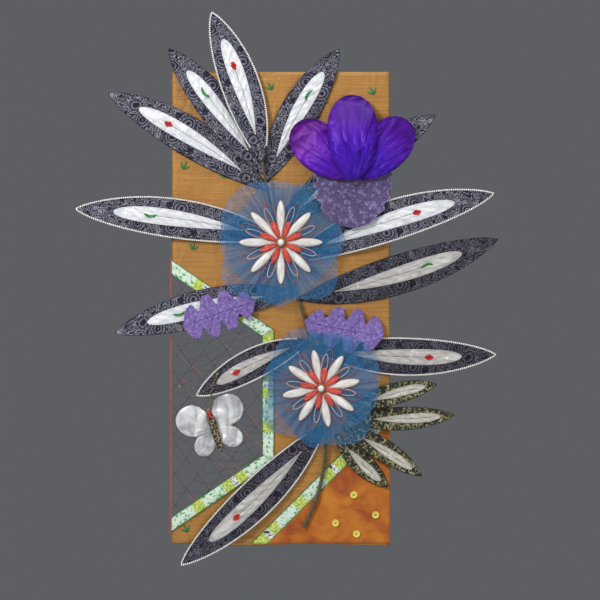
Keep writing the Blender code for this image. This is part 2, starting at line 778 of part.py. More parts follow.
def build_star(name, centre, reach, turn, cloth):
    """A padded star of eight long kites round a hub, flat below and ridged above."""
    lift = max(relief(centre.x + reach * share * turned(15 * k)[0],
                      centre.z + reach * share * turned(15 * k)[1], 0.0)
               for share in (0.1, 0.4, 0.7, 1.0) for k in range(24)) + 2 * CLEAR
    base = -(ground_out(*centre) + lift)
    outline = []
    for k in range(8):
        for step in STAR_STEPS:
            across, up = turned(45 * k + turn + step.turn)
            outline.append((centre.x + reach * step.share * across, step.rise * reach,
                            centre.z + reach * step.share * up))
    count = len(outline)
    points = [(centre.x, base - STAR_CROWN * reach, centre.z), (centre.x, base, centre.z)]
    points += [(x, base - RIM - rise, z) for x, rise, z in outline]
    points += [(x, base, z) for x, _, z in outline]
    faces = []
    for k in range(count):
        m = (k + 1) % count
        faces.append((0, 2 + k, 2 + m))
        faces.append((1, 2 + count + k, 2 + count + m))
        faces.append((2 + k, 2 + m, 2 + count + m, 2 + count + k))
    add_object(name, mesh_from(name, points, faces), cloth)
    disc = [[(centre.x + reach * share * turned(15 * k)[0], centre.z + reach * share * turned(15 * k)[1])
             for k in range(25)] for share in (0.0, 1.0)]
    LAID.append(Laid(disc, [[lift + STAR_CROWN * reach] * 25] * 2))


def build_stars():
    """A white star and a smaller coral one on it, over each veil."""
    for star in STARS:
        centre = branch_point(star.along)
        build_star(f"star_white_{star.name}", centre, star.long_point, star.turn, "star_white")
        build_star(f"star_coral_{star.name}", centre, star.short_point, star.turn + 22.5, "star_coral")


def build_oaks():
    """Two lobed leaves of dyed cloth."""
    for oak in OAKS:
        blade = Blade(Point(oak.x, oak.z), oak.angle, oak.length, oak.width, 0.06,
                      rise=0.55, fall=0.42, foot=0.10, lobes=4, depth=0.52)
        lay_leaf(blade, oak.name, "lavender_batik", 0.002, 0.003, 0.002, stations=16, columns=2)


def build_tulip():
    """The padded satin bloom and the scalloped lace beneath it."""
    lace = Blade(Point(0.158, -0.160), -90, 0.184, 0.176, 0.0, rise=0.42, fall=0.50, foot=0.5,
                 lobes=7, depth=0.10)
    lay_leaf(lace, "tulip_lace", "lavender_lace", 0.002, 0.002, 0.0, stations=21, columns=4)
    for petal in TULIP_PETALS:
        blade = Blade(Point(petal.x, petal.z), petal.angle, petal.length, petal.width, 0.0,
                      rise=0.62, fall=0.46, foot=0.30)
        plan = blade.plan(9, 6)
        rests = taut([[relief(*p, 0.022) + CLEAR for p in row] for row in plan])
        thick = []
        for i in range(10):
            swell = math.sin(math.pi * (0.08 + 0.84 * i / 9)) * (1.0 - 0.16 * (i % 2))
            thick.append([0.0016 + petal.crown * swell * math.sqrt(1 - 0.96 * u * u) for u in sides(6)])
        sheet(petal.name, plan, rests, thick, "purple_satin")
        lay(plan, rests, thick)


def wing_radius(angle):
    """The butterfly's outline: two broad upper wings and two small lower ones."""
    folded = abs((angle - 90 + 180) % 360 - 180)
    upper = 0.090 * max(0.0, math.cos(math.radians((folded - 52) * 1.75))) ** 0.55
    lower = 0.068 * max(0.0, math.cos(math.radians((folded - 132) * 2.0))) ** 0.55
    return max(upper if folded < 104 else 0.0, lower if folded > 86 else 0.0, 0.016)


def build_butterfly():
    """The satin wings, and the brocade body with its two feelers."""
    spokes, rings = 48, 2
    plan = polar_plan(BUTTERFLY, lambda a: wing_radius(a - BUTTERFLY_TURN), rings, spokes, first=0.14)
    along = turned(90 + BUTTERFLY_TURN)
    across = turned(BUTTERFLY_TURN)
    backs = []
    for row in plan:
        line = []
        for x, z in row:
            aside = abs((x - BUTTERFLY.x) * across[0] + (z - BUTTERFLY.z) * across[1])
            line.append(relief(x, z, 0.020) + CLEAR + 0.0010 + 0.10 * aside)
        backs.append(line)
    thick = [[0.0022 for _ in row] for row in plan]
    sheet("butterfly_wings", plan, backs, thick, "silver_satin", cyclic=True)
    lay(plan, backs, thick, BUTTERFLY)
    foot = Point(BUTTERFLY.x - 0.052 * along[0], BUTTERFLY.z - 0.052 * along[1])
    blade = Blade(foot, 90 + BUTTERFLY_TURN, 0.100, 0.019, 0.0, rise=0.5, fall=0.5, foot=0.2)
    plan = blade.plan(8, 4)
    rest = max(relief(*p, 0.004) for row in plan for p in row) + CLEAR
    backs = [[rest for _ in row] for row in plan]
    thick = [[RIM + 0.008 * math.sin(math.pi * (0.1 + 0.8 * i / 8)) * math.sqrt(1 - 0.96 * u * u)
              for u in sides(4)] for i in range(9)]
    body = sheet("butterfly_body", plan, backs, thick, "gold_brocade")
    head = blade.place(0.93, 0.0)
    for side in (-1, 1):
        route = []
        for i in range(9):
            share = i / 8
            forward, aside = 0.078 * share, side * (0.004 + 0.040 * share**1.6)
            x = head[0] - 0.006 * along[0] + forward * along[0] + aside * across[0]
            z = head[1] - 0.006 * along[1] + forward * along[1] + aside * across[1]
            route.append(on_cloth(x, z, rest + 0.0022 + 0.004 * share))
        union_tube(body, route, 0.0014)


def union_tube(obj, route, radius):
    """Fuses a thin stiffened cord into a solid that its first point lies in."""
    helper = tube("feeler", route, radius, "gold_brocade")
    graph = bpy.context.evaluated_depsgraph_get()
    mesh = bpy.data.meshes.new_from_object(helper.evaluated_get(graph))
    bpy.data.objects.remove(helper)
    shape = bmesh.new()
    shape.from_mesh(mesh)
    bmesh.ops.remove_doubles(shape, verts=shape.verts, dist=1e-6)
    bmesh.ops.recalc_face_normals(shape, faces=shape.faces)
    shape.to_mesh(mesh)
    shape.free()
    knife = bpy.data.objects.new("feeler_solid", mesh)
    bpy.context.scene.collection.objects.link(knife)
    boolean = obj.modifiers.new("fuse", "BOOLEAN")
    boolean.object = knife
    boolean.operation = "UNION"
    graph = bpy.context.evaluated_depsgraph_get()
    made = bpy.data.meshes.new_from_object(obj.evaluated_get(graph))
    obj.modifiers.remove(boolean)
    bpy.data.objects.remove(knife)
    obj.data = made


def main():
    """Lays the whole hanging, from the ground cloth forwards."""
    clear_scene()
    build_ground()
    build_net()
    build_edge_cord()
    build_borders()
    build_corner_block()
    build_leaves(LOWER_LEAVES, 0.0025, columns=2)
    build_leaves(UPPER_LEAVES, 0.0035, columns=4)
    build_branch()
    build_sprig()
    build_oaks()
    build_veils()
    build_stars()
    build_tulip()
    build_butterfly()


main()
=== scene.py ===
"""The looks of a layered cloth wall hanging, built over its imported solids.

X runs to the right, Z up, the front faces -Y and the wall is the plane Y = 0, all in metres.
Each piece is laid on those before it: a depth is a point's Y, and a smaller depth is nearer the eye.
"""

import logging
import math
from collections.abc import Callable, Iterable, Sequence
from dataclasses import dataclass, field
from enum import Enum

import bmesh
import bpy
import numpy as np
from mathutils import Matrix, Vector
from mathutils.bvhtree import BVHTree


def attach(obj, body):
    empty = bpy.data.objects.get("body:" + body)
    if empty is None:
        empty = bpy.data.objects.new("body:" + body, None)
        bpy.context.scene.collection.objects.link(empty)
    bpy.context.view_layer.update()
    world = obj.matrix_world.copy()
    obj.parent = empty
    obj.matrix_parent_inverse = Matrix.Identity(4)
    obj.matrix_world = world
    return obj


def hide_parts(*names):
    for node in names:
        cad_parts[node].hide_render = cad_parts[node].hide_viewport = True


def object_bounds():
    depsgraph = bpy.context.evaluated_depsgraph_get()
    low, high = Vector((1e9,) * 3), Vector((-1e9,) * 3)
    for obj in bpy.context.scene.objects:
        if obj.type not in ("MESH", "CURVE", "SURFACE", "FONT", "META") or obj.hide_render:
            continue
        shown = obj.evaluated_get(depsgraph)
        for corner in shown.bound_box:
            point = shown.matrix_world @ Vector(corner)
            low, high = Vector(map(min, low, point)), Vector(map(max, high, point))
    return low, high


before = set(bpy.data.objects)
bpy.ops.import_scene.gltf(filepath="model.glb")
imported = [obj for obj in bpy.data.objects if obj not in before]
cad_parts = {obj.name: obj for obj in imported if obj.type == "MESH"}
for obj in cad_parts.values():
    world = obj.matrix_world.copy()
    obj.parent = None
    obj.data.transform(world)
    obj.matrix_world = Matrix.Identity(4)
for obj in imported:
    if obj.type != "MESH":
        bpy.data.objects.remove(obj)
CAD_BOX = [list(corner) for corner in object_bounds()]

LOG = logging.getLogger("wall_hanging")
BODY = "root"
UV_NAME = "Cloth"
EDGE_NAME = "edge"
LOOK = "look_"
NOTHING = 0.02
CLEAR = 0.0004
RIM = 0.0010
BLUNT = 0.03

PANEL_WIDTH = 0.480
PANEL_HEIGHT = 1.040
WINDOW_TOP = -0.430
WINDOW_BOTTOM = -0.995
WINDOW_REACH = 0.212
WINDOW_SLOPE = 0.145
HEM_SWAY = 0.0025
BORDER_WIDTH = 0.026
CORNER_TOP = -0.752
CORNER_LEFT = -0.048
BRANCH = ((0.050, -1.000), (0.185, -0.760), (0.000, -0.480), (-0.040, -0.200))

Array = np.ndarray
Socket = bpy.types.NodeSocket
Colour = tuple[float, float, float]


class Trim(Enum):
    """The little motif worked near the tip of an inlay."""

    NONE = 0
    RED_OVAL = 1
    GREEN_CURVE = 2


class Print(Enum):
    """The cottons that the borders are pieced from."""

    LEAVES = 0
    LIME = 1
    BLOCKS = 2


def smoothed(depth: Array, ring: bool = False) -> Array:
    """Averages each depth with its neighbours along both directions of a grid.

    Args:
        depth: Depths, a row for each station.
        ring: Whether the last column meets the first.

    Returns:
        The smoother depths.
    """
    tall = np.vstack([depth[:1], depth, depth[-1:]])
    out = (tall[:-2] + 2 * tall[1:-1] + tall[2:]) / 4
    ends = (out[:, -1:], out[:, :1]) if ring else (out[:, :1], out[:, -1:])
    wide = np.hstack([ends[0], out, ends[1]])
    return (wide[:, :-2] + 2 * wide[:, 1:-1] + wide[:, 2:]) / 4


def step(low: float, high: float, value: Array) -> Array:
    """A soft step from 0 at low to 1 at high."""
    share = np.clip((value - low) / (high - low), 0.0, 1.0)
    return share * share * (3 - 2 * share)


def turned(degrees: float) -> tuple[float, float]:
    """The unit vector at this angle from X towards Z, as (x, z)."""
    angle = math.radians(degrees)
    return math.cos(angle), math.sin(angle)


def branch_point(along: float) -> tuple[float, float]:
    """The place of the branch at a share of its length, from the hem up."""
    rest = 1 - along
    weights = (rest**3, 3 * rest**2 * along, 3 * rest * along**2, along**3)
    return (sum(w * p[0] for w, p in zip(weights, BRANCH)), sum(w * p[1] for w, p in zip(weights, BRANCH)))


def window_outline() -> list[tuple[float, float]]:
    """The corners of the open window, from its upper corner at the panel's edge, clockwise."""
    left = -PANEL_WIDTH / 2
    right = left + WINDOW_REACH
    return [(left, WINDOW_TOP), (right, WINDOW_TOP - WINDOW_SLOPE),
            (right, WINDOW_BOTTOM + WINDOW_SLOPE), (left, WINDOW_BOTTOM)]


def window_edge(z: Array) -> Array:
    """The x of the window's inner edge at each height, or of the panel's own edge away from it."""
    left = -PANEL_WIDTH / 2
    lean = WINDOW_REACH / WINDOW_SLOPE
    reach = np.minimum(np.minimum((WINDOW_TOP - z) * lean, (z - WINDOW_BOTTOM) * lean), WINDOW_REACH)
    return left + np.maximum(reach, 0.0)


def new_object(name: str, verts: Array, faces: Iterable[Sequence[int]], smooth: bool = True) -> bpy.types.Object:
    """Makes a mesh object at the origin.

    Args:
        name: The piece's name.
        verts: Points, one to a row.
        faces: The points of each face, by number.
        smooth: Whether the faces are shaded as one surface.

    Returns:
        The object, linked to the scene.
    """
    mesh = bpy.data.meshes.new(name)
    mesh.from_pydata(np.asarray(verts).tolist(), [], [list(map(int, f)) for f in faces])
    mesh.update()
    mesh.shade_smooth() if smooth else mesh.shade_flat()
    obj = bpy.data.objects.new(name, mesh)
    bpy.context.scene.collection.objects.link(obj)
    return obj


def set_uv(obj: bpy.types.Object, u: Array, v: Array) -> None:
    """Gives a mesh the map that its cloth pattern follows, in metres."""
    layer = obj.data.uv_layers.new(name=UV_NAME)
    corner = np.empty(len(obj.data.loops), np.int32)
    obj.data.loops.foreach_get("vertex_index", corner)
    flat = np.stack([np.ravel(u)[corner], np.ravel(v)[corner]], axis=1)
    layer.data.foreach_set("uv", flat.astype(np.float32).ravel())


def set_edge(obj: bpy.types.Object, edge: Array) -> None:
    """Stores how far each point is from its cloth's cut edge."""
    attribute = obj.data.attributes.new(EDGE_NAME, "FLOAT", "POINT")
    attribute.data.foreach_set("value", np.ravel(edge).astype(np.float32))


def mount_piece(obj: bpy.types.Object, material: bpy.types.Material, slot: str, *nodes: str) -> bpy.types.Object:
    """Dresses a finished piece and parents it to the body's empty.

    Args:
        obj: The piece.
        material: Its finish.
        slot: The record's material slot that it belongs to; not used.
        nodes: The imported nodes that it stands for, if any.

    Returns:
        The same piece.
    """
    obj.data.materials.append(material)
    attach(obj, BODY)
    if nodes:
        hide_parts(*nodes)
    LOG.info("%s: %d faces", obj.name, len(obj.data.polygons))
    return obj


class Solid:
    """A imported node, read from the front or from the back."""

    def __init__(self, name: str) -> None:
        """Builds the search tree of the node's mesh."""
        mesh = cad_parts[name].data
        self.tree = BVHTree.FromPolygons([v.co for v in mesh.vertices], [p.vertices for p in mesh.polygons])

    def _read(self, x: Array, z: Array, start: float, way: float) -> Array:
        """Depths where rays along Y meet the node, or of its nearest point where they miss."""
        out = np.empty(x.size)
        for k, (a, c) in enumerate(zip(x.ravel(), z.ravel())):
            hit = self.tree.ray_cast(Vector((a, start, c)), Vector((0, way, 0)))[0]
            if hit is None:
                hit = self.tree.find_nearest(Vector((a, -0.02, c)))[0]
            out[k] = hit.y
        return out.reshape(x.shape)

    def front(self, x: Array, z: Array) -> Array:
        """The depths of the node's front."""
        return self._read(x, z, -1.0, 1.0)

    def back(self, x: Array, z: Array) -> Array:
        """The depths of the node's back."""
        return self._read(x, z, 1.0, -1.0)


class Pile:
    """All that has been laid so far, kept as the foremost depth in each cell of a map."""

    cell = 0.002

    def __init__(self, low: Sequence[float], high: Sequence[float], margin: float = 0.03) -> None:
        """Starts an empty map over a box."""
        self.low = (low[0] - margin, low[2] - margin)
        shape = (int((high[0] - low[0] + 2 * margin) / self.cell) + 2,
                 int((high[2] - low[2] + 2 * margin) / self.cell) + 2)
        self.depth = np.full(shape, NOTHING)

    def stamp(self, obj: bpy.types.Object) -> None:
        """Adds a finished piece to the map."""
        mesh = obj.data
        points = np.empty(len(mesh.vertices) * 3)
        mesh.vertices.foreach_get("co", points)
        points = points.reshape(-1, 3)
        tree = BVHTree.FromPolygons(points.tolist(), [p.vertices[:] for p in mesh.polygons])
        first = [int((points[:, k].min() - self.low[n]) / self.cell) for n, k in enumerate((0, 2))]
        last = [int((points[:, k].max() - self.low[n]) / self.cell) + 2 for n, k in enumerate((0, 2))]
        for i in range(max(0, first[0]), min(self.depth.shape[0], last[0])):
            x = self.low[0] + i * self.cell
            for j in range(max(0, first[1]), min(self.depth.shape[1], last[1])):
                hit = tree.ray_cast(Vector((x, -1.0, self.low[1] + j * self.cell)), Vector((0, 1, 0)))[0]
                if hit is not None and hit.y < self.depth[i, j]:
                    self.depth[i, j] = hit.y

    def _cells(self, x: Array, z: Array) -> tuple[Array, Array]:
        """Places in cells, kept inside the map."""
        i = np.clip((x - self.low[0]) / self.cell, 0, self.depth.shape[0] - 1.001)
        j = np.clip((z - self.low[1]) / self.cell, 0, self.depth.shape[1] - 1.001)
        return i, j

    def foremost(self, x: Array, z: Array, reach: float = 0.003) -> Array:
        """The foremost depth within reach of each place."""
        i, j = (np.rint(part).astype(int) for part in self._cells(x, z))
        span = int(math.ceil(reach / self.cell))
        out = np.full(np.shape(x), NOTHING)
        for a in range(-span, span + 1):
            for b in range(-span, span + 1):
                if a * a + b * b > span * span + 1:
                    continue
                near = self.depth[np.clip(i + a, 0, self.depth.shape[0] - 1),
                                  np.clip(j + b, 0, self.depth.shape[1] - 1)]
                out = np.minimum(out, near)
        return out

    def drape(self, x: Array, z: Array, start: Array, clear: float = CLEAR, reach: float = 0.004,
              rounds: int = 6, ring: bool = False) -> Array:
        """Back depths of a cloth that hangs at start, in front of all that lies below it.

        Args:
            x: Places of the cloth's grid.
            z: Places of the cloth's grid.
            start: Where the cloth would hang on its own.
            clear: The gap to what it lies on.
            reach: How far to each side the gap is kept.
            rounds: How often the cloth is evened out, so that it bridges dips.
            ring: Whether the grid closes on itself.

        Returns:
            The depth of the cloth's back at each place.
        """
        limit = self.foremost(x, z, reach) - clear
        depth = np.minimum(start, limit)
        for _ in range(rounds):
            depth = np.minimum(smoothed(depth, ring), limit)
        return depth


def facing_quads(x: Array, z: Array, ring: bool) -> tuple[Array, bool]:
    """The quads of a grid, wound to face the front, and whether the grid runs the other way round."""
    rows, columns = x.shape
    i, j = np.meshgrid(np.arange(rows - 1), np.arange(columns if ring else columns - 1), indexing="ij")
    i, j = i.ravel(), j.ravel()
    beside = (j + 1) % columns
    quads = np.stack([i * columns + j, i * columns + beside, (i + 1) * columns + beside, (i + 1) * columns + j], 1)
    a, c = x.ravel()[quads], z.ravel()[quads]
    spin = np.sum(a * np.roll(c, -1, 1) - np.roll(a, -1, 1) * c)
    return (quads[:, ::-1], True) if spin < 0 else (quads, False)


def closed_sheet(name: str, x: Array, z: Array, back: Array, front: Array, u: Array, v: Array, edge: Array,
                 ring: bool = False) -> bpy.types.Object:
    """Makes a closed cloth body from a grid of places with a back and a front.

    Args:
        name: The piece's name.
        x: Places of the grid, a row for each station.
        z: Places of the grid.
        back: Back depths.
        front: Front depths, or whole points where the front has settled sideways too.
        u: Pattern coordinate across, in metres.
        v: Pattern coordinate along, in metres.
        edge: Distances from the cut edge.
        ring: Whether the last column meets the first; the first row then closes at a centre point.

    Returns:
        The object.
    """
    rows, columns = x.shape
    face = front if front.ndim == 3 else np.stack([x, front, z], axis=-1)
    points = np.concatenate([np.stack([x, back, z], axis=-1).reshape(-1, 3), face.reshape(-1, 3)])
    layer = rows * columns
    quads, flip = facing_quads(x, z, ring)
    faces = (quads + layer).tolist() + quads[:, ::-1].tolist()
    if ring:
        loop = [(rows - 1) * columns + k for k in range(columns)][::-1]
    else:
        loop = [k for k in range(columns)]
        loop += [r * columns + columns - 1 for r in range(1, rows)]
        loop += [(rows - 1) * columns + k for k in range(columns - 2, -1, -1)]
        loop += [r * columns for r in range(rows - 2, 0, -1)]
    loop = loop[::-1] if flip else loop
    faces += [[b + layer, a + layer, a, b] for a, b in zip(loop, loop[1:] + loop[:1])]
    u, v, edge = (np.concatenate([a.ravel(), a.ravel()]) for a in (u, v, edge))
    if ring:
        hubs = np.array([points[k * layer:k * layer + columns].mean(0) for k in (0, 1)])
        points = np.vstack([points, hubs])
        u, v = (np.concatenate([a, [a[:columns].mean()] * 2]) for a in (u, v))
        edge = np.concatenate([edge, [edge.max()] * 2])
        for k in range(columns):
            m = (k + 1) % columns
            pair = [[2 * layer + 1, layer + m, layer + k], [2 * layer, k, m]]
            faces += [face[::-1] for face in pair] if flip else pair
    obj = new_object(name, points, faces)
    set_uv(obj, u, v)
    set_edge(obj, edge)
    return obj


def settled(face: Array, held: Array, spare: float, puff: float, most: float, ring: bool = False,
            frames: int = 13) -> Array:
    """Lets the face of a padded piece buckle inside its stitched outline, as a cloth simulation.

    Args:
        face: Points of the face, a row for each station.
        held: Which points are sewn down.
        spare: How much larger the cloth is cut than the outline that it is sewn to, as a share.
        puff: The filling's push, as a pressure.
        most: How far a point may move.
        ring: Whether the last column meets the first.
        frames: How long the cloth settles.

    Returns:
        The points after the cloth has settled.
    """
    quads, _ = facing_quads(face[..., 0], face[..., 2], ring)
    obj = new_object("settling", face.reshape(-1, 3), quads)
    group = obj.vertex_groups.new(name="sewn")
    group.add(np.flatnonzero(held.ravel()).tolist(), 1.0, "REPLACE")
    cloth = obj.modifiers.new("cloth", "CLOTH")
    cloth.settings.vertex_group_mass = group.name
    cloth.settings.shrink_min = -spare
    cloth.settings.use_pressure = True
    cloth.settings.uniform_pressure_force = puff
    cloth.settings.effector_weights.gravity = 0.0
    cloth.settings.quality = 5
    cloth.settings.mass = 0.002
    cloth.settings.bending_stiffness = 0.4
    cloth.collision_settings.use_self_collision = False
    cloth.point_cache.frame_end = frames
    for number in range(1, frames + 1):
        bpy.context.scene.frame_set(number)
    moved = np.empty(len(obj.data.vertices) * 3)
    obj.evaluated_get(bpy.context.evaluated_depsgraph_get()).data.vertices.foreach_get("co", moved)
    bpy.data.objects.remove(obj)
    bpy.context.scene.frame_set(1)
    move = moved.reshape(face.shape) - face
    length = np.maximum(np.linalg.norm(move, axis=-1, keepdims=True), 1e-9)
    return face + move * (most * np.tanh(length / most) / length)


def sewn_rim(shape: tuple[int, int], width: int = 2) -> Array:
    """The points of a grid that lie in its outer rows and columns."""
    held = np.ones(shape, bool)
    held[width:-width, width:-width] = False
    return held


def lens(share: Array, rise: float, fall: float, foot: float) -> Array:
    """A blade's half width at a share of its length, against its greatest."""
    peak = rise / (rise + fall)
    inside = np.clip(share, 0.0, 1.0)
    full = (inside / peak) ** rise * ((1 - inside) / (1 - peak)) ** fall
    return np.maximum(np.maximum(full, foot * (1 - inside)), BLUNT)


@dataclass(frozen=True)
class Blade:
    """A length of cloth cut along a bent centreline, pointed or round at its end."""

    x: float
    z: float
    angle: float
    length: float
    width: float
    bend: float = 0.0
    rise: float = 0.8
    fall: float = 0.75
    foot: float = 0.14
    lobes: int = 0
    depth: float = 0.0
    valley: float = 1.0

    def half_width(self, share: Array) -> Array:
        """Half the width at a share of the length, with lobes where the cloth has them."""
        wave = 1.0 - self.depth * (0.5 + 0.5 * np.cos(2 * np.pi * self.lobes * share)) ** self.valley
        return self.width / 2 * lens(share, self.rise, self.fall, self.foot) * wave

    def place(self, share: Array, side: Array) -> tuple[Array, Array]:
        """The x and z at shares of the length and of the half width."""
        along, across = turned(self.angle), turned(self.angle + 90)
        forward = self.length * share
        aside = self.bend * self.length * share**2 + side * self.half_width(share)
        return (self.x + forward * along[0] + aside * across[0],
                self.z + forward * along[1] + aside * across[1])


@dataclass
class Surface:
    """The front of a laid piece, on which trim can be placed by its own steps and sides."""

    steps: Array
    sides: Array
    face: Array

    def at(self, step_at: Array | float, side: Array | float) -> Array:
        """The points in space at steps along the piece and sides across it."""
        along, side = np.broadcast_arrays(np.asarray(step_at, float), np.asarray(side, float))
        i = np.clip(np.searchsorted(self.steps, along) - 1, 0, len(self.steps) - 2)
        j = np.clip(np.searchsorted(self.sides, side) - 1, 0, len(self.sides) - 2)
        a = np.clip((along - self.steps[i]) / (self.steps[i + 1] - self.steps[i]), 0, 1)[..., None]
        b = np.clip((side - self.sides[j]) / (self.sides[j + 1] - self.sides[j]), 0, 1)[..., None]
        near = self.face[i, j] * (1 - b) + self.face[i, j + 1] * b
        far = self.face[i + 1, j] * (1 - b) + self.face[i + 1, j + 1] * b
        return near * (1 - a) + far * a


@dataclass
class Bundle:
    """Many small closed shapes gathered into one mesh."""

    verts: list[Array] = field(default_factory=list)
    faces: list[list[int]] = field(default_factory=list)
    count: int = 0

    def add(self, verts: Array, faces: Iterable[Sequence[int]]) -> None:
        """Adds a shape by its points and faces."""
        self.verts.append(verts)
        self.faces += [[k + self.count for k in face] for face in faces]
        self.count += len(verts)

    def tube(self, route: Array, radius: float | Array, spokes: int = 6) -> None:
        """Adds a round thread along a route of points."""
        route = np.asarray(route, float)
        ahead = np.gradient(route, axis=0)
        ahead /= np.maximum(np.linalg.norm(ahead, axis=1, keepdims=True), 1e-9)
        side = np.cross(ahead, (0.0, 1.0, 0.0))
        weak = np.linalg.norm(side, axis=1) < 0.05
        side[weak] = np.cross(ahead[weak], (1.0, 0.0, 0.0))
        side /= np.linalg.norm(side, axis=1, keepdims=True)
        for k in range(1, len(side)):
            if np.dot(side[k], side[k - 1]) < 0:
                side[k] = -side[k]
        up = np.cross(side, ahead)
        angle = 2 * np.pi * np.arange(spokes) / spokes
        size = np.broadcast_to(radius, len(route))[:, None, None]
        rings = (route[:, None] + size * (np.cos(angle)[None, :, None] * side[:, None]
                                          + np.sin(angle)[None, :, None] * up[:, None]))
        faces = []
        for i in range(len(route) - 1):
            for k in range(spokes):
                m = (k + 1) % spokes
                faces.append([i * spokes + m, i * spokes + k, (i + 1) * spokes + k, (i + 1) * spokes + m])
        faces.append(list(range(spokes)))
        faces.append([(len(route) - 1) * spokes + k for k in range(spokes)][::-1])
        self.add(rings.reshape(-1, 3), [face[::-1] for face in faces])

    def build(self, name: str) -> bpy.types.Object:
        """The gathered shapes as one object."""
        return new_object(name, np.concatenate(self.verts), self.faces)


@dataclass
class Shape:
    """A small shape modelled once, whose points are then copied to many places."""

    verts: Array
    faces: list[list[int]]

    @classmethod
    def taken_from(cls, obj: bpy.types.Object) -> "Shape":
        """Reads an object's mesh and removes the object."""
        verts = np.array([v.co for v in obj.data.vertices])
        faces = [list(p.vertices) for p in obj.data.polygons]
        bpy.data.objects.remove(obj)
        return cls(verts, faces)

    def at(self, place: Sequence[float], size: float | Sequence[float] = 1.0) -> tuple[Array, list[list[int]]]:
        """The shape scaled and moved."""
        return self.verts * size + np.asarray(place), self.faces


def deselect() -> None:
    """Leaves nothing selected, so that an operator acts on what it makes."""
    for obj in bpy.context.selected_objects:
        obj.select_set(False)


def bead_shape() -> Shape:
    """A round bead of unit radius, flattened at the ends of its hole."""
    deselect()
    bpy.ops.mesh.primitive_uv_sphere_add(segments=8, ring_count=6, radius=1.0)
    bead = bpy.context.object
    for vertex in bead.data.vertices:
        if abs(vertex.co.z) > 0.99:
            vertex.co.z *= 0.88
    return Shape.taken_from(bead)


class Recipe:
    """One material's nodes, added and linked by name."""

    def __init__(self, name: str, roughness: float, **constants: float | tuple) -> None:
        """Starts a material with plain values on its shader's own sockets."""
        self.material = bpy.data.materials.new(f"{LOOK}{name}")
        self.material.use_nodes = True
        self.tree = self.material.node_tree
        self.shader = self.tree.nodes["Principled BSDF"]
        self.shader.inputs["Roughness"].default_value = roughness
        for key, value in constants.items():
            self.shader.inputs[key.replace("_", " ")].default_value = value

    def add(self, kind: str, inputs: dict | None = None, **settings: object) -> bpy.types.Node:
        """Adds a node.

        Args:
            kind: The node's type.
            inputs: Sockets or values, by the input's name or number.
            settings: The node's own settings.

        Returns:
            The node.
        """
        return add_node(self.tree, kind, inputs, **settings)

    def use(self, group: bpy.types.NodeTree, inputs: dict) -> bpy.types.Node:
        """Places a shared group in the material."""
        node = self.tree.nodes.new("ShaderNodeGroup")
        node.node_tree = group
        fill(self.tree, node, inputs)
        return node

    def cloth(self, scale: Sequence[float] = (1, 1, 1), turn: float = 0.0) -> Socket:
        """The piece's own pattern coordinates, scaled and turned."""
        uv = self.add("ShaderNodeUVMap", uv_map=UV_NAME)
        mapping = self.add("ShaderNodeMapping", {"Vector": uv.outputs["UV"]})
        mapping.inputs["Scale"].default_value = scale
        mapping.inputs["Rotation"].default_value = (0, 0, math.radians(turn))
        return mapping.outputs["Vector"]

    def place(self, scale: Sequence[float] = (1, 1, 1)) -> Socket:
        """Object coordinates, scaled."""
        coords = self.add("ShaderNodeTexCoord")
        mapping = self.add("ShaderNodeMapping", {"Vector": coords.outputs["Object"]})
        mapping.inputs["Scale"].default_value = scale
        return mapping.outputs["Vector"]

    def edge(self) -> Socket:
        """The distance from the cloth's cut edge."""
        return self.add("ShaderNodeAttribute", attribute_name=EDGE_NAME).outputs["Fac"]

    def math(self, operation: str, a: Socket | float, b: Socket | float = 0.0, c: Socket | float = 0.0,
             clamp: bool = False) -> Socket:
        """A sum on two or three values."""
        return self.add("ShaderNodeMath", {0: a, 1: b, 2: c}, operation=operation, use_clamp=clamp).outputs[0]

    def mix(self, share: Socket | float, a: Socket | Colour, b: Socket | Colour, blend: str = "MIX") -> Socket:
        """A mix of two colours."""
        node = self.add("ShaderNodeMix", {"Factor": share}, data_type="RGBA", blend_type=blend)
        fill(self.tree, node, {6: a, 7: b})
        return node.outputs[2]

    def ramp(self, value: Socket, *stops: tuple[float, float]) -> Socket:
        """A value drawn through stops, each a position and a level."""
        node = self.add("ShaderNodeValToRGB", {0: value})
        ramp = node.color_ramp
        while len(ramp.elements) < len(stops):
            ramp.elements.new(0.5)
        for element, (position, level) in zip(ramp.elements, stops):
            element.position = position
            element.color = (level, level, level, 1)
        return node.outputs["Color"]

    def bump(self, height: Socket, distance: float, strength: float = 1.0) -> None:
        """Feeds a height into the shader's normal."""
        node = self.add("ShaderNodeBump", {"Height": height, "Distance": distance, "Strength": strength})
        self.tree.links.new(node.outputs["Normal"], self.shader.inputs["Normal"])

    def feed(self, **sockets: Socket) -> None:
        """Links sockets to the shader by name."""
        for key, socket in sockets.items():
            self.tree.links.new(socket, self.shader.inputs[key.replace("_", " ")])


def fill(tree: bpy.types.NodeTree, node: bpy.types.Node, inputs: dict) -> None:
    """Sets or links a node's inputs."""
    for key, value in inputs.items():
        socket = node.inputs[key]
        if isinstance(value, bpy.types.NodeSocket):
            tree.links.new(value, socket)
        elif isinstance(value, tuple) and len(value) == 3 and socket.type == "RGBA":
            socket.default_value = (*value, 1.0)
        else:
            socket.default_value = value


def add_node(tree: bpy.types.NodeTree, kind: str, inputs: dict | None = None, **settings: object) -> bpy.types.Node:
    """Adds a node to a tree, with its settings and inputs."""
    node = tree.nodes.new(kind)
    for key, value in settings.items():
        setattr(node, key, value)
    fill(tree, node, inputs or {})
    return node


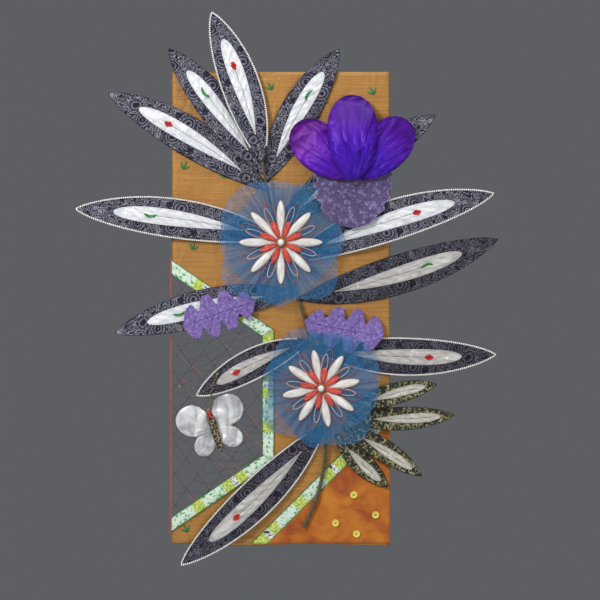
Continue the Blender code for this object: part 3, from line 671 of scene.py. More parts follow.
class SharedGroup:
    """A shader node group with named sockets, built once."""

    def __init__(self, name: str, inputs: dict[str, tuple[str, object]], outputs: dict[str, str]) -> None:
        """Starts the group with its sockets.

        Args:
            name: The group's name.
            inputs: For each input, its socket type and default.
            outputs: For each output, its socket type.
        """
        self.tree = bpy.data.node_groups.new(name, "ShaderNodeTree")
        for key, (kind, value) in inputs.items():
            socket = self.tree.interface.new_socket(key, in_out="INPUT", socket_type=kind)
            if value is not None:
                socket.default_value = value
        for key, kind in outputs.items():
            self.tree.interface.new_socket(key, in_out="OUTPUT", socket_type=kind)
        self.given = self.tree.nodes.new("NodeGroupInput")
        self.made = self.tree.nodes.new("NodeGroupOutput")

    def add(self, kind: str, inputs: dict | None = None, **settings: object) -> bpy.types.Node:
        """Adds a node to the group."""
        return add_node(self.tree, kind, inputs, **settings)

    def math(self, operation: str, a: Socket | float, b: Socket | float = 0.0, c: Socket | float = 0.0,
             clamp: bool = False) -> Socket:
        """A sum on two or three values."""
        return self.add("ShaderNodeMath", {0: a, 1: b, 2: c}, operation=operation, use_clamp=clamp).outputs[0]

    def take(self, key: str) -> Socket:
        """One of the group's inputs."""
        return self.given.outputs[key]

    def give(self, key: str, socket: Socket) -> None:
        """Links one of the group's outputs."""
        self.tree.links.new(socket, self.made.inputs[key])


FLOAT, VECTOR, COLOUR = "NodeSocketFloat", "NodeSocketVector", "NodeSocketColor"


def weave_group() -> bpy.types.NodeTree:
    """A plain weave: its threads' height, and a tint that varies from thread to thread."""
    group = SharedGroup("weave", {"Vector": (VECTOR, None), "Threads": (FLOAT, 1400.0)},
                        {"Height": FLOAT, "Tint": FLOAT})
    turns = group.math("MULTIPLY", group.take("Threads"), math.pi)
    scaled = group.add("ShaderNodeVectorMath", {0: group.take("Vector"), "Scale": turns}, operation="SCALE")
    split = group.add("ShaderNodeSeparateXYZ", {0: scaled.outputs[0]})
    warp = group.math("SINE", split.outputs["X"])
    weft = group.math("SINE", split.outputs["Y"])
    group.give("Height", group.math("MULTIPLY_ADD", group.math("MULTIPLY", warp, weft), 0.5))
    uneven = group.add("ShaderNodeTexNoise", {"Vector": group.take("Vector"), "Scale": 420.0, "Detail": 2.0})
    group.give("Tint", uneven.outputs["Fac"])
    return group.tree


def streak_group() -> bpy.types.NodeTree:
    """Slubs and thread lines: noise drawn out along one direction."""
    group = SharedGroup("streak", {"Vector": (VECTOR, None), "Along": (FLOAT, 12.0), "Across": (FLOAT, 500.0)},
                        {"Mask": FLOAT})
    split = group.add("ShaderNodeSeparateXYZ", {0: group.take("Vector")})
    joined = group.add("ShaderNodeCombineXYZ", {
        0: group.math("MULTIPLY", split.outputs["X"], group.take("Along")),
        1: group.math("MULTIPLY", split.outputs["Y"], group.take("Across"))})
    noise = group.add("ShaderNodeTexNoise", {"Vector": joined.outputs[0], "Scale": 1.0, "Detail": 4.0,
                                             "Roughness": 0.6})
    group.give("Mask", noise.outputs["Fac"])
    return group.tree


def crinkle_group() -> bpy.types.NodeTree:
    """Soft creases: folded noise at two sizes."""
    group = SharedGroup("crinkle", {"Vector": (VECTOR, None), "Scale": (FLOAT, 60.0)}, {"Height": FLOAT})
    large = group.add("ShaderNodeTexNoise", {"Vector": group.take("Vector"), "Scale": group.take("Scale"),
                                             "Detail": 3.0, "Distortion": 0.6})
    folded = group.math("ABSOLUTE", group.math("SUBTRACT", large.outputs["Fac"], 0.5))
    fine = group.add("ShaderNodeTexNoise", {
        "Vector": group.take("Vector"), "Scale": group.math("MULTIPLY", group.take("Scale"), 3.1), "Detail": 2.0})
    group.give("Height", group.math("MULTIPLY_ADD", fine.outputs["Fac"], 0.25, group.math("MULTIPLY", folded, 1.6)))
    return group.tree


def mottle_group() -> bpy.types.NodeTree:
    """Dye that has run: three colours in soft blotches."""
    group = SharedGroup(
        "mottle",
        {"Vector": (VECTOR, None), "Scale": (FLOAT, 30.0), "Deep": (COLOUR, (0, 0, 0, 1)),
         "Middle": (COLOUR, (0.5, 0.5, 0.5, 1)), "Light": (COLOUR, (1, 1, 1, 1))},
        {"Colour": COLOUR, "Mask": FLOAT})
    blot = group.add("ShaderNodeTexNoise", {"Vector": group.take("Vector"), "Scale": group.take("Scale"),
                                            "Detail": 3.0, "Roughness": 0.55, "Distortion": 0.9})
    low = group.add("ShaderNodeMapRange", {0: blot.outputs["Fac"], 1: 0.30, 2: 0.52})
    high = group.add("ShaderNodeMapRange", {0: blot.outputs["Fac"], 1: 0.52, 2: 0.72})
    first = group.add("ShaderNodeMix", {"Factor": low.outputs[0]}, data_type="RGBA")
    fill(group.tree, first, {6: group.take("Deep"), 7: group.take("Middle")})
    second = group.add("ShaderNodeMix", {"Factor": high.outputs[0]}, data_type="RGBA")
    fill(group.tree, second, {6: first.outputs[2], 7: group.take("Light")})
    group.give("Colour", second.outputs[2])
    group.give("Mask", blot.outputs["Fac"])
    return group.tree


def stitch_group() -> bpy.types.NodeTree:
    """A running stitch along a line: a mask that is 1 on its thread."""
    group = SharedGroup("stitch", {"Across": (FLOAT, 0.0), "Along": (FLOAT, 0.0), "Offset": (FLOAT, 0.0042),
                                   "Width": (FLOAT, 0.0005), "Length": (FLOAT, 0.0032)}, {"Mask": FLOAT})
    away = group.math("ABSOLUTE", group.math("SUBTRACT", group.take("Across"), group.take("Offset")))
    on_line = group.math("LESS_THAN", away, group.take("Width"))
    turn = group.math("FRACT", group.math("DIVIDE", group.take("Along"), group.take("Length")))
    group.give("Mask", group.math("MULTIPLY", on_line, group.math("LESS_THAN", turn, 0.7)))
    return group.tree


class Groups:
    """The shared shader groups, each made at its first use."""

    makers: dict[str, Callable[[], bpy.types.NodeTree]] = {
        "weave": weave_group, "streak": streak_group, "crinkle": crinkle_group,
        "mottle": mottle_group, "stitch": stitch_group}

    @classmethod
    def get(cls, name: str) -> bpy.types.NodeTree:
        """The group of this name."""
        return bpy.data.node_groups.get(name) or cls.makers[name]()


class Finish:
    """A surface finish, whose material is made once for each set of values."""

    def name(self) -> str:
        """The material's name."""
        return type(self).__name__.lower()

    def material(self) -> bpy.types.Material:
        """The finish's material."""
        return bpy.data.materials.get(f"{LOOK}{self.name()}") or self.make()

    def make(self) -> bpy.types.Material:
        """Builds the material."""
        raise NotImplementedError


@dataclass(frozen=True)
class SlubbedSilk(Finish):
    """Shot silk with slubs that run across the panel."""

    warp: Colour = (0.600, 0.300, 0.062)
    weft: Colour = (0.380, 0.165, 0.026)
    slub: Colour = (0.820, 0.500, 0.170)

    def make(self) -> bpy.types.Material:
        """Builds the material."""
        r = Recipe(self.name(), 0.42, Sheen_Weight=0.12, Sheen_Roughness=0.4)
        cloth = r.cloth()
        bands = r.use(Groups.get("streak"), {"Vector": cloth, "Along": 8.0, "Across": 360.0})
        threads = r.use(Groups.get("streak"), {"Vector": cloth, "Along": 24.0, "Across": 1000.0})
        knots = r.use(Groups.get("streak"), {"Vector": cloth, "Along": 30.0, "Across": 460.0})
        wash = r.add("ShaderNodeTexNoise", {"Vector": cloth, "Scale": 7.0, "Detail": 3.0})
        tone = r.math("MULTIPLY_ADD", bands.outputs[0], 0.6, r.math("MULTIPLY", threads.outputs[0], 0.4))
        base = r.mix(r.ramp(tone, (0.42, 0), (0.58, 1)), self.weft, self.warp)
        slubs = r.ramp(knots.outputs[0], (0.62, 0), (0.72, 1))
        base = r.mix(r.math("MULTIPLY", slubs, 0.6), base, self.slub)
        base = r.mix(r.ramp(wash.outputs["Fac"], (0.35, 0.0), (0.70, 0.30)), base, (0.42, 0.175, 0.022))
        grain = r.add("ShaderNodeTexNoise", {"Vector": r.cloth((1.0, 2.4, 1.0)), "Scale": 330.0, "Detail": 3.0,
                                             "Roughness": 0.75})
        base = r.mix(r.ramp(grain.outputs["Fac"], (0.40, 0.42), (0.62, 0.0)), base, (0.200, 0.080, 0.012))
        weave = r.use(Groups.get("weave"), {"Vector": cloth, "Threads": 1300.0})
        edge = r.math("LESS_THAN", r.edge(), 0.0014)
        base = r.mix(r.math("MULTIPLY", edge, 0.5), base, (0.17, 0.07, 0.015))
        height = r.math("ADD", r.math("MULTIPLY", tone, 0.7), r.math("MULTIPLY", slubs, 0.6))
        height = r.math("MULTIPLY_ADD", weave.outputs["Height"], 0.25, height)
        crease = r.use(Groups.get("crinkle"), {"Vector": r.cloth((1.0, 0.35, 1.0)), "Scale": 24.0})
        height = r.math("MULTIPLY_ADD", crease.outputs[0], 6.0, height)
        r.bump(height, 0.0007, 0.8)
        r.feed(Base_Color=base, Roughness=r.ramp(bands.outputs[0], (0.35, 0.50), (0.65, 0.34)))
        return r.material


@dataclass(frozen=True)
class Jacquard(Finish):
    """Dark cloth with woven rings among fine scrolls in a paler thread."""

    title: str
    ground: Colour
    thread: Colour
    ring: float = 0.033

    def name(self) -> str:
        """The material's name."""
        return self.title

    def make(self) -> bpy.types.Material:
        """Builds the material."""
        r = Recipe(self.name(), 0.66, Specular_IOR_Level=0.28)
        cloth = r.cloth((1 / self.ring, 1 / self.ring, 1))
        sway = r.add("ShaderNodeTexNoise", {"Vector": cloth, "Scale": 1.7, "Detail": 2.0})
        bent = r.add("ShaderNodeMix", {"Factor": 0.22}, data_type="VECTOR")
        fill(r.tree, bent, {4: cloth, 5: sway.outputs["Color"]})
        cells = r.add("ShaderNodeTexVoronoi", {"Vector": bent.outputs[1], "Scale": 1.0, "Randomness": 0.8})
        rings = r.math("SINE", r.math("MULTIPLY", cells.outputs["Distance"], 42.0))
        wander = r.add("ShaderNodeTexNoise", {"Vector": cloth, "Scale": 3.0, "Detail": 1.0, "Distortion": 0.6})
        scrolls = r.math("SINE", r.math("MULTIPLY", wander.outputs["Fac"], 40.0))
        inside = r.ramp(cells.outputs["Distance"], (0.38, 1), (0.44, 0))
        lines = r.math("MULTIPLY_ADD", inside, r.math("SUBTRACT", rings, scrolls), scrolls)
        fleck = r.add("ShaderNodeTexNoise", {"Vector": cloth, "Scale": 15.0, "Detail": 3.0, "Roughness": 0.7})
        broken = r.ramp(fleck.outputs["Fac"], (0.36, 0.15), (0.52, 1))
        drawn = r.ramp(r.math("MULTIPLY_ADD", lines, 0.5, 0.5), (0.42, 0), (0.70, 1))
        patch = r.add("ShaderNodeTexNoise", {"Vector": cloth, "Scale": 1.3, "Detail": 2.0})
        pale = r.math("MULTIPLY_ADD", inside, -0.30, r.ramp(patch.outputs["Fac"], (0.35, 0.62), (0.6, 1)))
        level = r.math("MULTIPLY", r.math("MULTIPLY", drawn, broken), pale)
        colour = r.mix(level, self.ground, self.thread)
        near = r.ramp(r.math("DIVIDE", r.edge(), 0.0022), (0.4, 0.75), (0.9, 0.0))
        colour = r.mix(near, colour, self.ground)
        weave = r.use(Groups.get("weave"), {"Vector": r.cloth(), "Threads": 900.0})
        height = r.math("ADD", r.math("MULTIPLY", level, 0.8), r.math("MULTIPLY", weave.outputs["Height"], 0.5))
        r.bump(height, 0.0005, 0.9)
        r.feed(Base_Color=colour, Roughness=r.ramp(level, (0.0, 0.66), (1.0, 0.48)))
        return r.material


@dataclass(frozen=True)
class Satin(Finish):
    """Smooth padded satin, drawn into small creases, with painted shade in its creases and along its cut edge."""

    title: str
    colour: Colour
    shade: Colour
    rough: float = 0.34
    crease: float = 55.0
    depth: float = 0.0012
    seam: Colour | None = None
    gleam: Colour = (1.0, 1.0, 1.0)
    tip: Colour | None = None

    def name(self) -> str:
        """The material's name."""
        return self.title

    def make(self) -> bpy.types.Material:
        """Builds the material."""
        r = Recipe(self.name(), self.rough, Sheen_Weight=0.10, Sheen_Roughness=0.35,
                   Specular_IOR_Level=0.55, Specular_Tint=(*self.gleam, 1.0))
        cloth = r.cloth()
        split = r.add("ShaderNodeSeparateXYZ", {0: cloth})
        crease = r.use(Groups.get("crinkle"), {"Vector": r.cloth((1.0, 0.32, 1.0)), "Scale": self.crease}).outputs[0]
        thread = r.use(Groups.get("streak"), {"Vector": r.cloth((1, 1, 1), 90), "Along": 30.0, "Across": 1500.0})
        main = self.colour
        if self.tip:
            main = r.mix(r.ramp(split.outputs["Y"], (0.065, 0.0), (0.150, 1.0)), self.colour, self.tip)
            heading = r.add("ShaderNodeVectorMath", {0: cloth}, operation="NORMALIZE")
            folds = r.add("ShaderNodeTexNoise", {"Vector": heading.outputs[0], "Scale": 15.0, "Detail": 3.0})
            gather = r.ramp(folds.outputs["Fac"], (0.36, 0.0), (0.60, 1.0))
            low = r.ramp(split.outputs["Y"], (0.04, 1.0), (0.135, 0.12))
            crease = r.math("MULTIPLY_ADD", r.math("MULTIPLY", gather, low), 0.9, r.math("MULTIPLY", crease, 0.7))
        # Painted shade: the crease height, with a petal's gathers near its foot, darkens the colour towards the shade
        # colour.
        tone = r.ramp(r.math("MULTIPLY", crease, 1.9), (0.02, 0.0), (0.62, 1.0))
        colour = r.mix(tone, self.shade, main)
        # Painted shade along the cut edge: the colour turns to the shade colour there.
        near = r.ramp(r.math("DIVIDE", r.edge(), 0.006), (0.0, 0.6), (1.0, 0.0))
        colour = r.mix(near, colour, self.shade)
        if self.seam:
            mask = r.use(Groups.get("stitch"), {"Across": r.edge(), "Along": split.outputs["Y"],
                                                "Offset": 0.0011, "Width": 0.0004, "Length": 0.0026})
            colour = r.mix(mask.outputs[0], colour, self.seam)
        r.bump(r.math("MULTIPLY_ADD", thread.outputs[0], 0.06, crease), self.depth, 0.7)
        r.feed(Base_Color=colour)
        return r.material


@dataclass(frozen=True)
class Batik(Finish):
    """Cotton dyed in soft blotches."""

    title: str
    deep: Colour
    middle: Colour
    light: Colour
    scale: float = 22.0
    hem: Colour = (0.05, 0.02, 0.08)

    def name(self) -> str:
        """The material's name."""
        return self.title

    def make(self) -> bpy.types.Material:
        """Builds the material."""
        r = Recipe(self.name(), 0.78, Sheen_Weight=0.2, Sheen_Roughness=0.5)
        cloth = r.cloth()
        dye = r.use(Groups.get("mottle"), {"Vector": cloth, "Scale": self.scale, "Deep": self.deep,
                                           "Middle": self.middle, "Light": self.light})
        weave = r.use(Groups.get("weave"), {"Vector": cloth, "Threads": 1500.0})
        grain = r.add("ShaderNodeTexNoise", {"Vector": cloth, "Scale": 700.0, "Detail": 2.0})
        colour = r.mix(r.ramp(grain.outputs["Fac"], (0.40, 0.0), (0.62, 0.45)), dye.outputs["Colour"], self.deep)
        split = r.add("ShaderNodeSeparateXYZ", {0: cloth})
        seam = r.use(Groups.get("stitch"), {"Across": r.edge(), "Along": split.outputs["Y"],
                                            "Offset": 0.0024, "Width": 0.0005, "Length": 0.003})
        colour = r.mix(r.math("MULTIPLY", seam.outputs[0], 0.8), colour, self.hem)
        crease = r.use(Groups.get("crinkle"), {"Vector": cloth, "Scale": 38.0})
        r.bump(r.math("ADD", r.math("MULTIPLY", weave.outputs["Height"], 0.12), crease.outputs[0]), 0.0014, 0.55)
        r.feed(Base_Color=colour)
        return r.material


@dataclass(frozen=True)
class PrintedCotton(Finish):
    """One of the cotton prints of the pieced borders."""

    kind: Print

    def name(self) -> str:
        """The material's name."""
        return f"cotton_{self.kind.name.lower()}"

    def make(self) -> bpy.types.Material:
        """Builds the material."""
        r = Recipe(self.name(), 0.8, Sheen_Weight=0.15)
        cloth = r.cloth()
        if self.kind is Print.LEAVES:
            colour = self._leaves(r, cloth)
        elif self.kind is Print.LIME:
            colour = self._lime(r, cloth)
        else:
            colour = self._blocks(r, cloth)
        split = r.add("ShaderNodeSeparateXYZ", {0: cloth})
        seam = r.use(Groups.get("stitch"), {"Across": r.edge(), "Along": split.outputs["Y"],
                                            "Offset": 0.0016, "Width": 0.0005, "Length": 0.0028})
        colour = r.mix(r.math("MULTIPLY", seam.outputs[0], 0.6), colour, (0.05, 0.12, 0.04))
        weave = r.use(Groups.get("weave"), {"Vector": cloth, "Threads": 1500.0})
        crease = r.use(Groups.get("crinkle"), {"Vector": cloth, "Scale": 70.0})
        r.bump(r.math("ADD", r.math("MULTIPLY", weave.outputs["Height"], 0.15), crease.outputs[0]), 0.0010, 0.6)
        r.feed(Base_Color=colour)
        return r.material

    def _leaves(self, r: Recipe, cloth: Socket) -> Socket:
        """White ground with small green leaves and paler shadows of them."""
        drawn = r.cloth((1.0, 0.55, 1.0), 35)
        back = r.add("ShaderNodeTexVoronoi", {"Vector": r.cloth((0.6, 1.0, 1.0), -25), "Scale": 150.0})
        front = r.add("ShaderNodeTexVoronoi", {"Vector": drawn, "Scale": 175.0, "Randomness": 0.9})
        some = r.ramp(front.outputs["Color"], (0.34, 0), (0.42, 1))
        colour = r.mix(r.ramp(back.outputs["Distance"], (0.28, 1), (0.5, 0)), (0.70, 0.80, 0.70), (0.34, 0.62, 0.40))
        mask = r.math("MULTIPLY", r.ramp(front.outputs["Distance"], (0.30, 1), (0.42, 0)), some)
        return r.mix(mask, colour, (0.075, 0.36, 0.065))

    def _lime(self, r: Recipe, cloth: Socket) -> Socket:
        """Lime ground with yellow and green dabs."""
        dabs = r.add("ShaderNodeTexNoise", {"Vector": cloth, "Scale": 190.0, "Detail": 2.0})
        tone = r.mix(r.ramp(dabs.outputs["Fac"], (0.40, 0), (0.60, 1)), (0.28, 0.47, 0.05), (0.66, 0.71, 0.14))
        dots = r.add("ShaderNodeTexVoronoi", {"Vector": cloth, "Scale": 210.0})
        return r.mix(r.ramp(dots.outputs["Distance"], (0.20, 1), (0.3, 0)), tone, (0.80, 0.82, 0.45))

    def _blocks(self, r: Recipe, cloth: Socket) -> Socket:
        """White ground with small black shapes."""
        shapes = r.add("ShaderNodeTexVoronoi", {"Vector": cloth, "Scale": 120.0, "Randomness": 1.0},
                       distance="CHEBYCHEV")
        rings = r.math("SINE", r.math("MULTIPLY", shapes.outputs["Distance"], 15.0))
        return r.mix(r.ramp(rings, (0.45, 0), (0.55, 1)), (0.80, 0.81, 0.80), (0.012, 0.014, 0.018))


@dataclass(frozen=True)
class OlivePrint(Finish):
    """Black cotton covered in small olive and straw leaves."""

    def make(self) -> bpy.types.Material:
        """Builds the material."""
        r = Recipe(self.name(), 0.8, Sheen_Weight=0.15)
        cloth = r.cloth()
        leaves = r.add("ShaderNodeTexVoronoi", {"Vector": r.cloth((1.0, 0.5, 1.0), 40), "Scale": 165.0})
        twigs = r.add("ShaderNodeTexVoronoi", {"Vector": r.cloth((0.5, 1.0, 1.0), 20), "Scale": 150.0},
                      feature="DISTANCE_TO_EDGE")
        colour = r.mix(r.ramp(leaves.outputs["Distance"], (0.26, 1), (0.42, 0)), (0.010, 0.011, 0.006),
                       (0.190, 0.180, 0.065))
        lines = r.ramp(twigs.outputs["Distance"], (0.03, 1), (0.075, 0))
        some = r.add("ShaderNodeTexNoise", {"Vector": cloth, "Scale": 90.0})
        lines = r.math("MULTIPLY", lines, r.ramp(some.outputs["Fac"], (0.42, 0), (0.56, 1)))
        colour = r.mix(lines, colour, (0.42, 0.40, 0.20))
        edge = r.ramp(r.math("DIVIDE", r.edge(), 0.0022), (0.6, 0.9), (1.0, 0.0))
        colour = r.mix(edge, colour, (0.008, 0.008, 0.008))
        weave = r.use(Groups.get("weave"), {"Vector": cloth, "Threads": 1400.0})
        crease = r.use(Groups.get("crinkle"), {"Vector": cloth, "Scale": 50.0})
        r.bump(r.math("ADD", r.math("MULTIPLY", weave.outputs["Height"], 0.15), crease.outputs[0]), 0.0010, 0.6)
        r.feed(Base_Color=colour)
        return r.material


@dataclass(frozen=True)
class Tulle(Finish):
    """Sheer blue net that gathers at a centre and deepens along its folds."""

    colour: Colour = (0.006, 0.120, 0.330)
    pale: Colour = (0.030, 0.300, 0.620)
    cover: float = 0.088

    def make(self) -> bpy.types.Material:
        """Builds the material."""
        r = Recipe(self.name(), 0.5, Sheen_Weight=0.05, Sheen_Roughness=0.3)
        cloth = r.cloth()
        heading = r.add("ShaderNodeVectorMath", {0: cloth}, operation="NORMALIZE")
        folds = r.add("ShaderNodeTexNoise", {"Vector": heading.outputs[0], "Scale": 13.0, "Detail": 6.0,
                                             "Roughness": 0.75})
        holes = r.add("ShaderNodeTexVoronoi", {"Vector": cloth, "Scale": 560.0, "Randomness": 0.15},
                      feature="DISTANCE_TO_EDGE")
        threads = r.ramp(holes.outputs["Distance"], (0.05, 1), (0.20, 0))
        depth = r.ramp(folds.outputs["Fac"], (0.42, 0.0), (0.62, 1.0))
        rim = r.ramp(r.math("DIVIDE", r.edge(), 0.0022), (0.3, 1.0), (1.0, 0.0))
        cover = r.math("MULTIPLY_ADD", depth, 0.16, self.cover)
        cover = r.math("MULTIPLY_ADD", threads, 0.08, cover)
        cover = r.math("MULTIPLY_ADD", rim, 0.16, cover, clamp=True)
        colour = r.mix(depth, self.pale, self.colour)
        r.bump(r.math("ADD", r.math("MULTIPLY", threads, 0.3), depth), 0.0008, 0.6)
        r.feed(Base_Color=colour, Alpha=cover)
        return r.material


@dataclass(frozen=True)
class Lace(Finish):
    """Heavy lavender lace: small raised flowers on a fine mesh, with a corded edge."""

    ground: Colour = (0.032, 0.018, 0.105)
    raised: Colour = (0.420, 0.330, 0.650)

    def make(self) -> bpy.types.Material:
        """Builds the material."""
        r = Recipe(self.name(), 0.85, Sheen_Weight=0.15)
        cloth = r.cloth()
        flowers = r.add("ShaderNodeTexVoronoi", {"Vector": cloth, "Scale": 88.0, "Randomness": 0.85})
        petals = r.add("ShaderNodeTexVoronoi", {"Vector": cloth, "Scale": 330.0, "Randomness": 1.0})
        mesh = r.add("ShaderNodeTexVoronoi", {"Vector": cloth, "Scale": 520.0, "Randomness": 0.5},
                     feature="DISTANCE_TO_EDGE")
        bloom = r.ramp(flowers.outputs["Distance"], (0.36, 1), (0.54, 0))
        petal = r.ramp(petals.outputs["Distance"], (0.25, 1), (0.62, 0.15))
        net = r.ramp(mesh.outputs["Distance"], (0.06, 0.42), (0.20, 0.03))
        cord = r.ramp(r.math("DIVIDE", r.edge(), 0.0050), (0.55, 1.0), (0.95, 0.0))
        level = r.math("MAXIMUM", r.math("MAXIMUM", r.math("MULTIPLY", bloom, petal), net),
                       r.math("MULTIPLY", cord, petal))
        colour = r.mix(level, self.ground, self.raised)
        solid = r.ramp(level, (0.05, 0.62), (0.15, 1.0))
        r.bump(level, 0.0016, 0.9)
        r.feed(Base_Color=colour, Alpha=solid)
        return r.material


@dataclass(frozen=True)
class Brocade(Finish):
    """Black cloth with small gold figures."""

    def make(self) -> bpy.types.Material:
        """Builds the material."""
        r = Recipe(self.name(), 0.5, Sheen_Weight=0.2)
        cloth = r.cloth()
        figures = r.add("ShaderNodeTexVoronoi", {"Vector": r.cloth((1, 0.6, 1), 30), "Scale": 230.0})
        lines = r.add("ShaderNodeTexVoronoi", {"Vector": cloth, "Scale": 120.0}, feature="DISTANCE_TO_EDGE")
        gold = r.math("MAXIMUM", r.ramp(figures.outputs["Distance"], (0.22, 1), (0.34, 0)),
                      r.ramp(lines.outputs["Distance"], (0.03, 1), (0.07, 0)))
        r.bump(gold, 0.0006, 0.9)
        r.feed(Base_Color=r.mix(gold, (0.010, 0.010, 0.009), (0.50, 0.40, 0.17)),
               Metallic=r.math("MULTIPLY", gold, 0.7), Roughness=r.ramp(gold, (0.0, 0.7), (1.0, 0.38)))
        return r.material


@dataclass(frozen=True)
class Thread(Finish):
    """Sewing thread or fine cord, twisted from two tones."""

    title: str
    colour: Colour
    shade: Colour
    rough: float = 0.6

    def name(self) -> str:
        """The material's name."""
        return self.title

    def make(self) -> bpy.types.Material:
        """Builds the material."""
        r = Recipe(self.name(), self.rough, Sheen_Weight=0.2)
        grain = r.add("ShaderNodeTexNoise", {"Vector": r.place(), "Scale": 900.0, "Detail": 2.0})
        tone = r.ramp(grain.outputs["Fac"], (0.35, 0), (0.65, 1))
        r.bump(tone, 0.0003, 0.6)
        r.feed(Base_Color=r.mix(tone, self.shade, self.colour))
        return r.material


@dataclass(frozen=True)
class Gloss(Finish):
    """Beads, pearls and buttons."""

    title: str
    colour: Colour
    shade: Colour
    rough: float = 0.22
    coat: float = 0.5
    speck: float = 260.0

    def name(self) -> str:
        """The material's name."""
        return self.title

    def make(self) -> bpy.types.Material:
        """Builds the material."""
        r = Recipe(self.name(), self.rough, Coat_Weight=self.coat, Coat_Roughness=0.08)
        clouds = r.add("ShaderNodeTexNoise", {"Vector": r.place(), "Scale": self.speck, "Detail": 2.0})
        tone = r.ramp(clouds.outputs["Fac"], (0.35, 0), (0.65, 1))
        r.feed(Base_Color=r.mix(tone, self.shade, self.colour),
               Roughness=r.ramp(tone, (0.0, self.rough * 1.5), (1.0, self.rough)))
        return r.material


GOLD_SILK = SlubbedSilk()
GREY_JACQUARD = Jacquard("grey_jacquard", (0.009, 0.006, 0.026), (0.330, 0.325, 0.375))
# The next jacquard and the grey satin two lines down are darker copies of the grey jacquard and the white satin, for
# the leaves low on the hanging: painted shade over its lower part.
SHADED_DARK_JACQUARD = Jacquard("dark_jacquard", (0.005, 0.003, 0.013), (0.165, 0.155, 0.195))
# A satin's second colour is the painted shade of its creases and of its cut edge.
WHITE_SATIN = Satin("white_satin", (0.86, 0.87, 0.88), (0.56, 0.59, 0.64))
SHADED_GREY_SATIN = Satin("grey_satin", (0.62, 0.60, 0.57), (0.31, 0.30, 0.30))
CREAM_SATIN = Satin("cream_satin", (0.76, 0.73, 0.67), (0.30, 0.28, 0.23), 0.30, 60.0, 0.0022)
STAR_SATIN = Satin("star_satin", (0.86, 0.85, 0.82), (0.54, 0.50, 0.45), seam=(0.45, 0.10, 0.06))
PURPLE_SATIN = Satin("purple_satin", (0.060, 0.008, 0.440), (0.012, 0.000, 0.110), 0.42, 26.0, 0.0022,
                     gleam=(0.50, 0.30, 1.0), tip=(0.095, 0.006, 0.290))
MAGENTA_SATIN = Satin("magenta_satin", (0.075, 0.006, 0.400), (0.018, 0.000, 0.090), 0.42, 26.0, 0.0022,
                      gleam=(0.75, 0.30, 1.0), tip=(0.120, 0.004, 0.220))
SILVER_SATIN = Satin("silver_satin", (0.78, 0.78, 0.80), (0.17, 0.17, 0.20), 0.26, 26.0, 0.0042)
CORAL_COTTON = Batik("coral_cotton", (0.50, 0.022, 0.010), (0.72, 0.060, 0.028), (0.86, 0.36, 0.28), 240.0)
ORANGE_BATIK = Batik("orange_batik", (0.300, 0.050, 0.004), (0.560, 0.165, 0.005), (0.640, 0.270, 0.020), 16.0,
                     (0.30, 0.10, 0.01))
LAVENDER_BATIK = Batik("lavender_batik", (0.090, 0.050, 0.250), (0.230, 0.145, 0.440), (0.420, 0.320, 0.640), 170.0)
OLIVE_PRINT = OlivePrint()
BLUE_TULLE = Tulle()
LAVENDER_LACE = Lace()
GOLD_BROCADE = Brocade()
PEARL = Gloss("pearl", (0.90, 0.89, 0.86), (0.80, 0.77, 0.75), 0.20, 0.7)
RED_BEAD = Gloss("red_bead", (0.72, 0.012, 0.006), (0.50, 0.005, 0.004))
GREEN_BEAD = Gloss("green_bead", (0.010, 0.330, 0.030), (0.006, 0.200, 0.020))
GOLD_BEAD = Gloss("gold_bead", (0.45, 0.30, 0.06), (0.30, 0.18, 0.03))
YELLOW_GLOSS = Gloss("yellow_button", (0.86, 0.76, 0.12), (0.76, 0.62, 0.07), 0.3, 0.6, 90.0)
BLACK_THREAD = Thread("black_thread", (0.020, 0.018, 0.020), (0.006, 0.006, 0.007))
CORAL_THREAD = Thread("coral_thread", (0.62, 0.130, 0.075), (0.40, 0.060, 0.035))
WINE_THREAD = Thread("wine_thread", (0.180, 0.012, 0.016), (0.070, 0.006, 0.008))
GREEN_THREAD = Thread("green_thread", (0.020, 0.250, 0.045), (0.008, 0.120, 0.018), 0.45)
WHITE_THREAD = Thread("white_thread", (0.80, 0.79, 0.76), (0.60, 0.58, 0.55))
VIOLET_THREAD = Thread("violet_thread", (0.075, 0.030, 0.200), (0.030, 0.012, 0.090))
BARK_CORD = Thread("bark_cord", (0.150, 0.090, 0.035), (0.050, 0.028, 0.012))
MOSS_CORD = Thread("moss_cord", (0.110, 0.150, 0.040), (0.040, 0.060, 0.015))


def hem_sides(half: float, inner: int) -> Array:
    """Sides from -1 to 1 that lie close together near both edges.

    Args:
        half: Half the cloth's greatest width.
        inner: How many columns lie inside the hems.

    Returns:
        The sides, in order.
    """
    near = 1 - np.array([0.0, 0.0007, 0.0030, 0.0042, 0.0054]) / half
    return np.concatenate([-near[:-1], np.linspace(-near[-1], near[-1], inner), near[:-1][::-1]])


def thinned(edge: Array, thickness: float) -> Array:
    """A cloth's thickness, drawn in at its cut edge."""
    return thickness * (0.30 + 0.70 * step(0.0, 0.0008, edge))


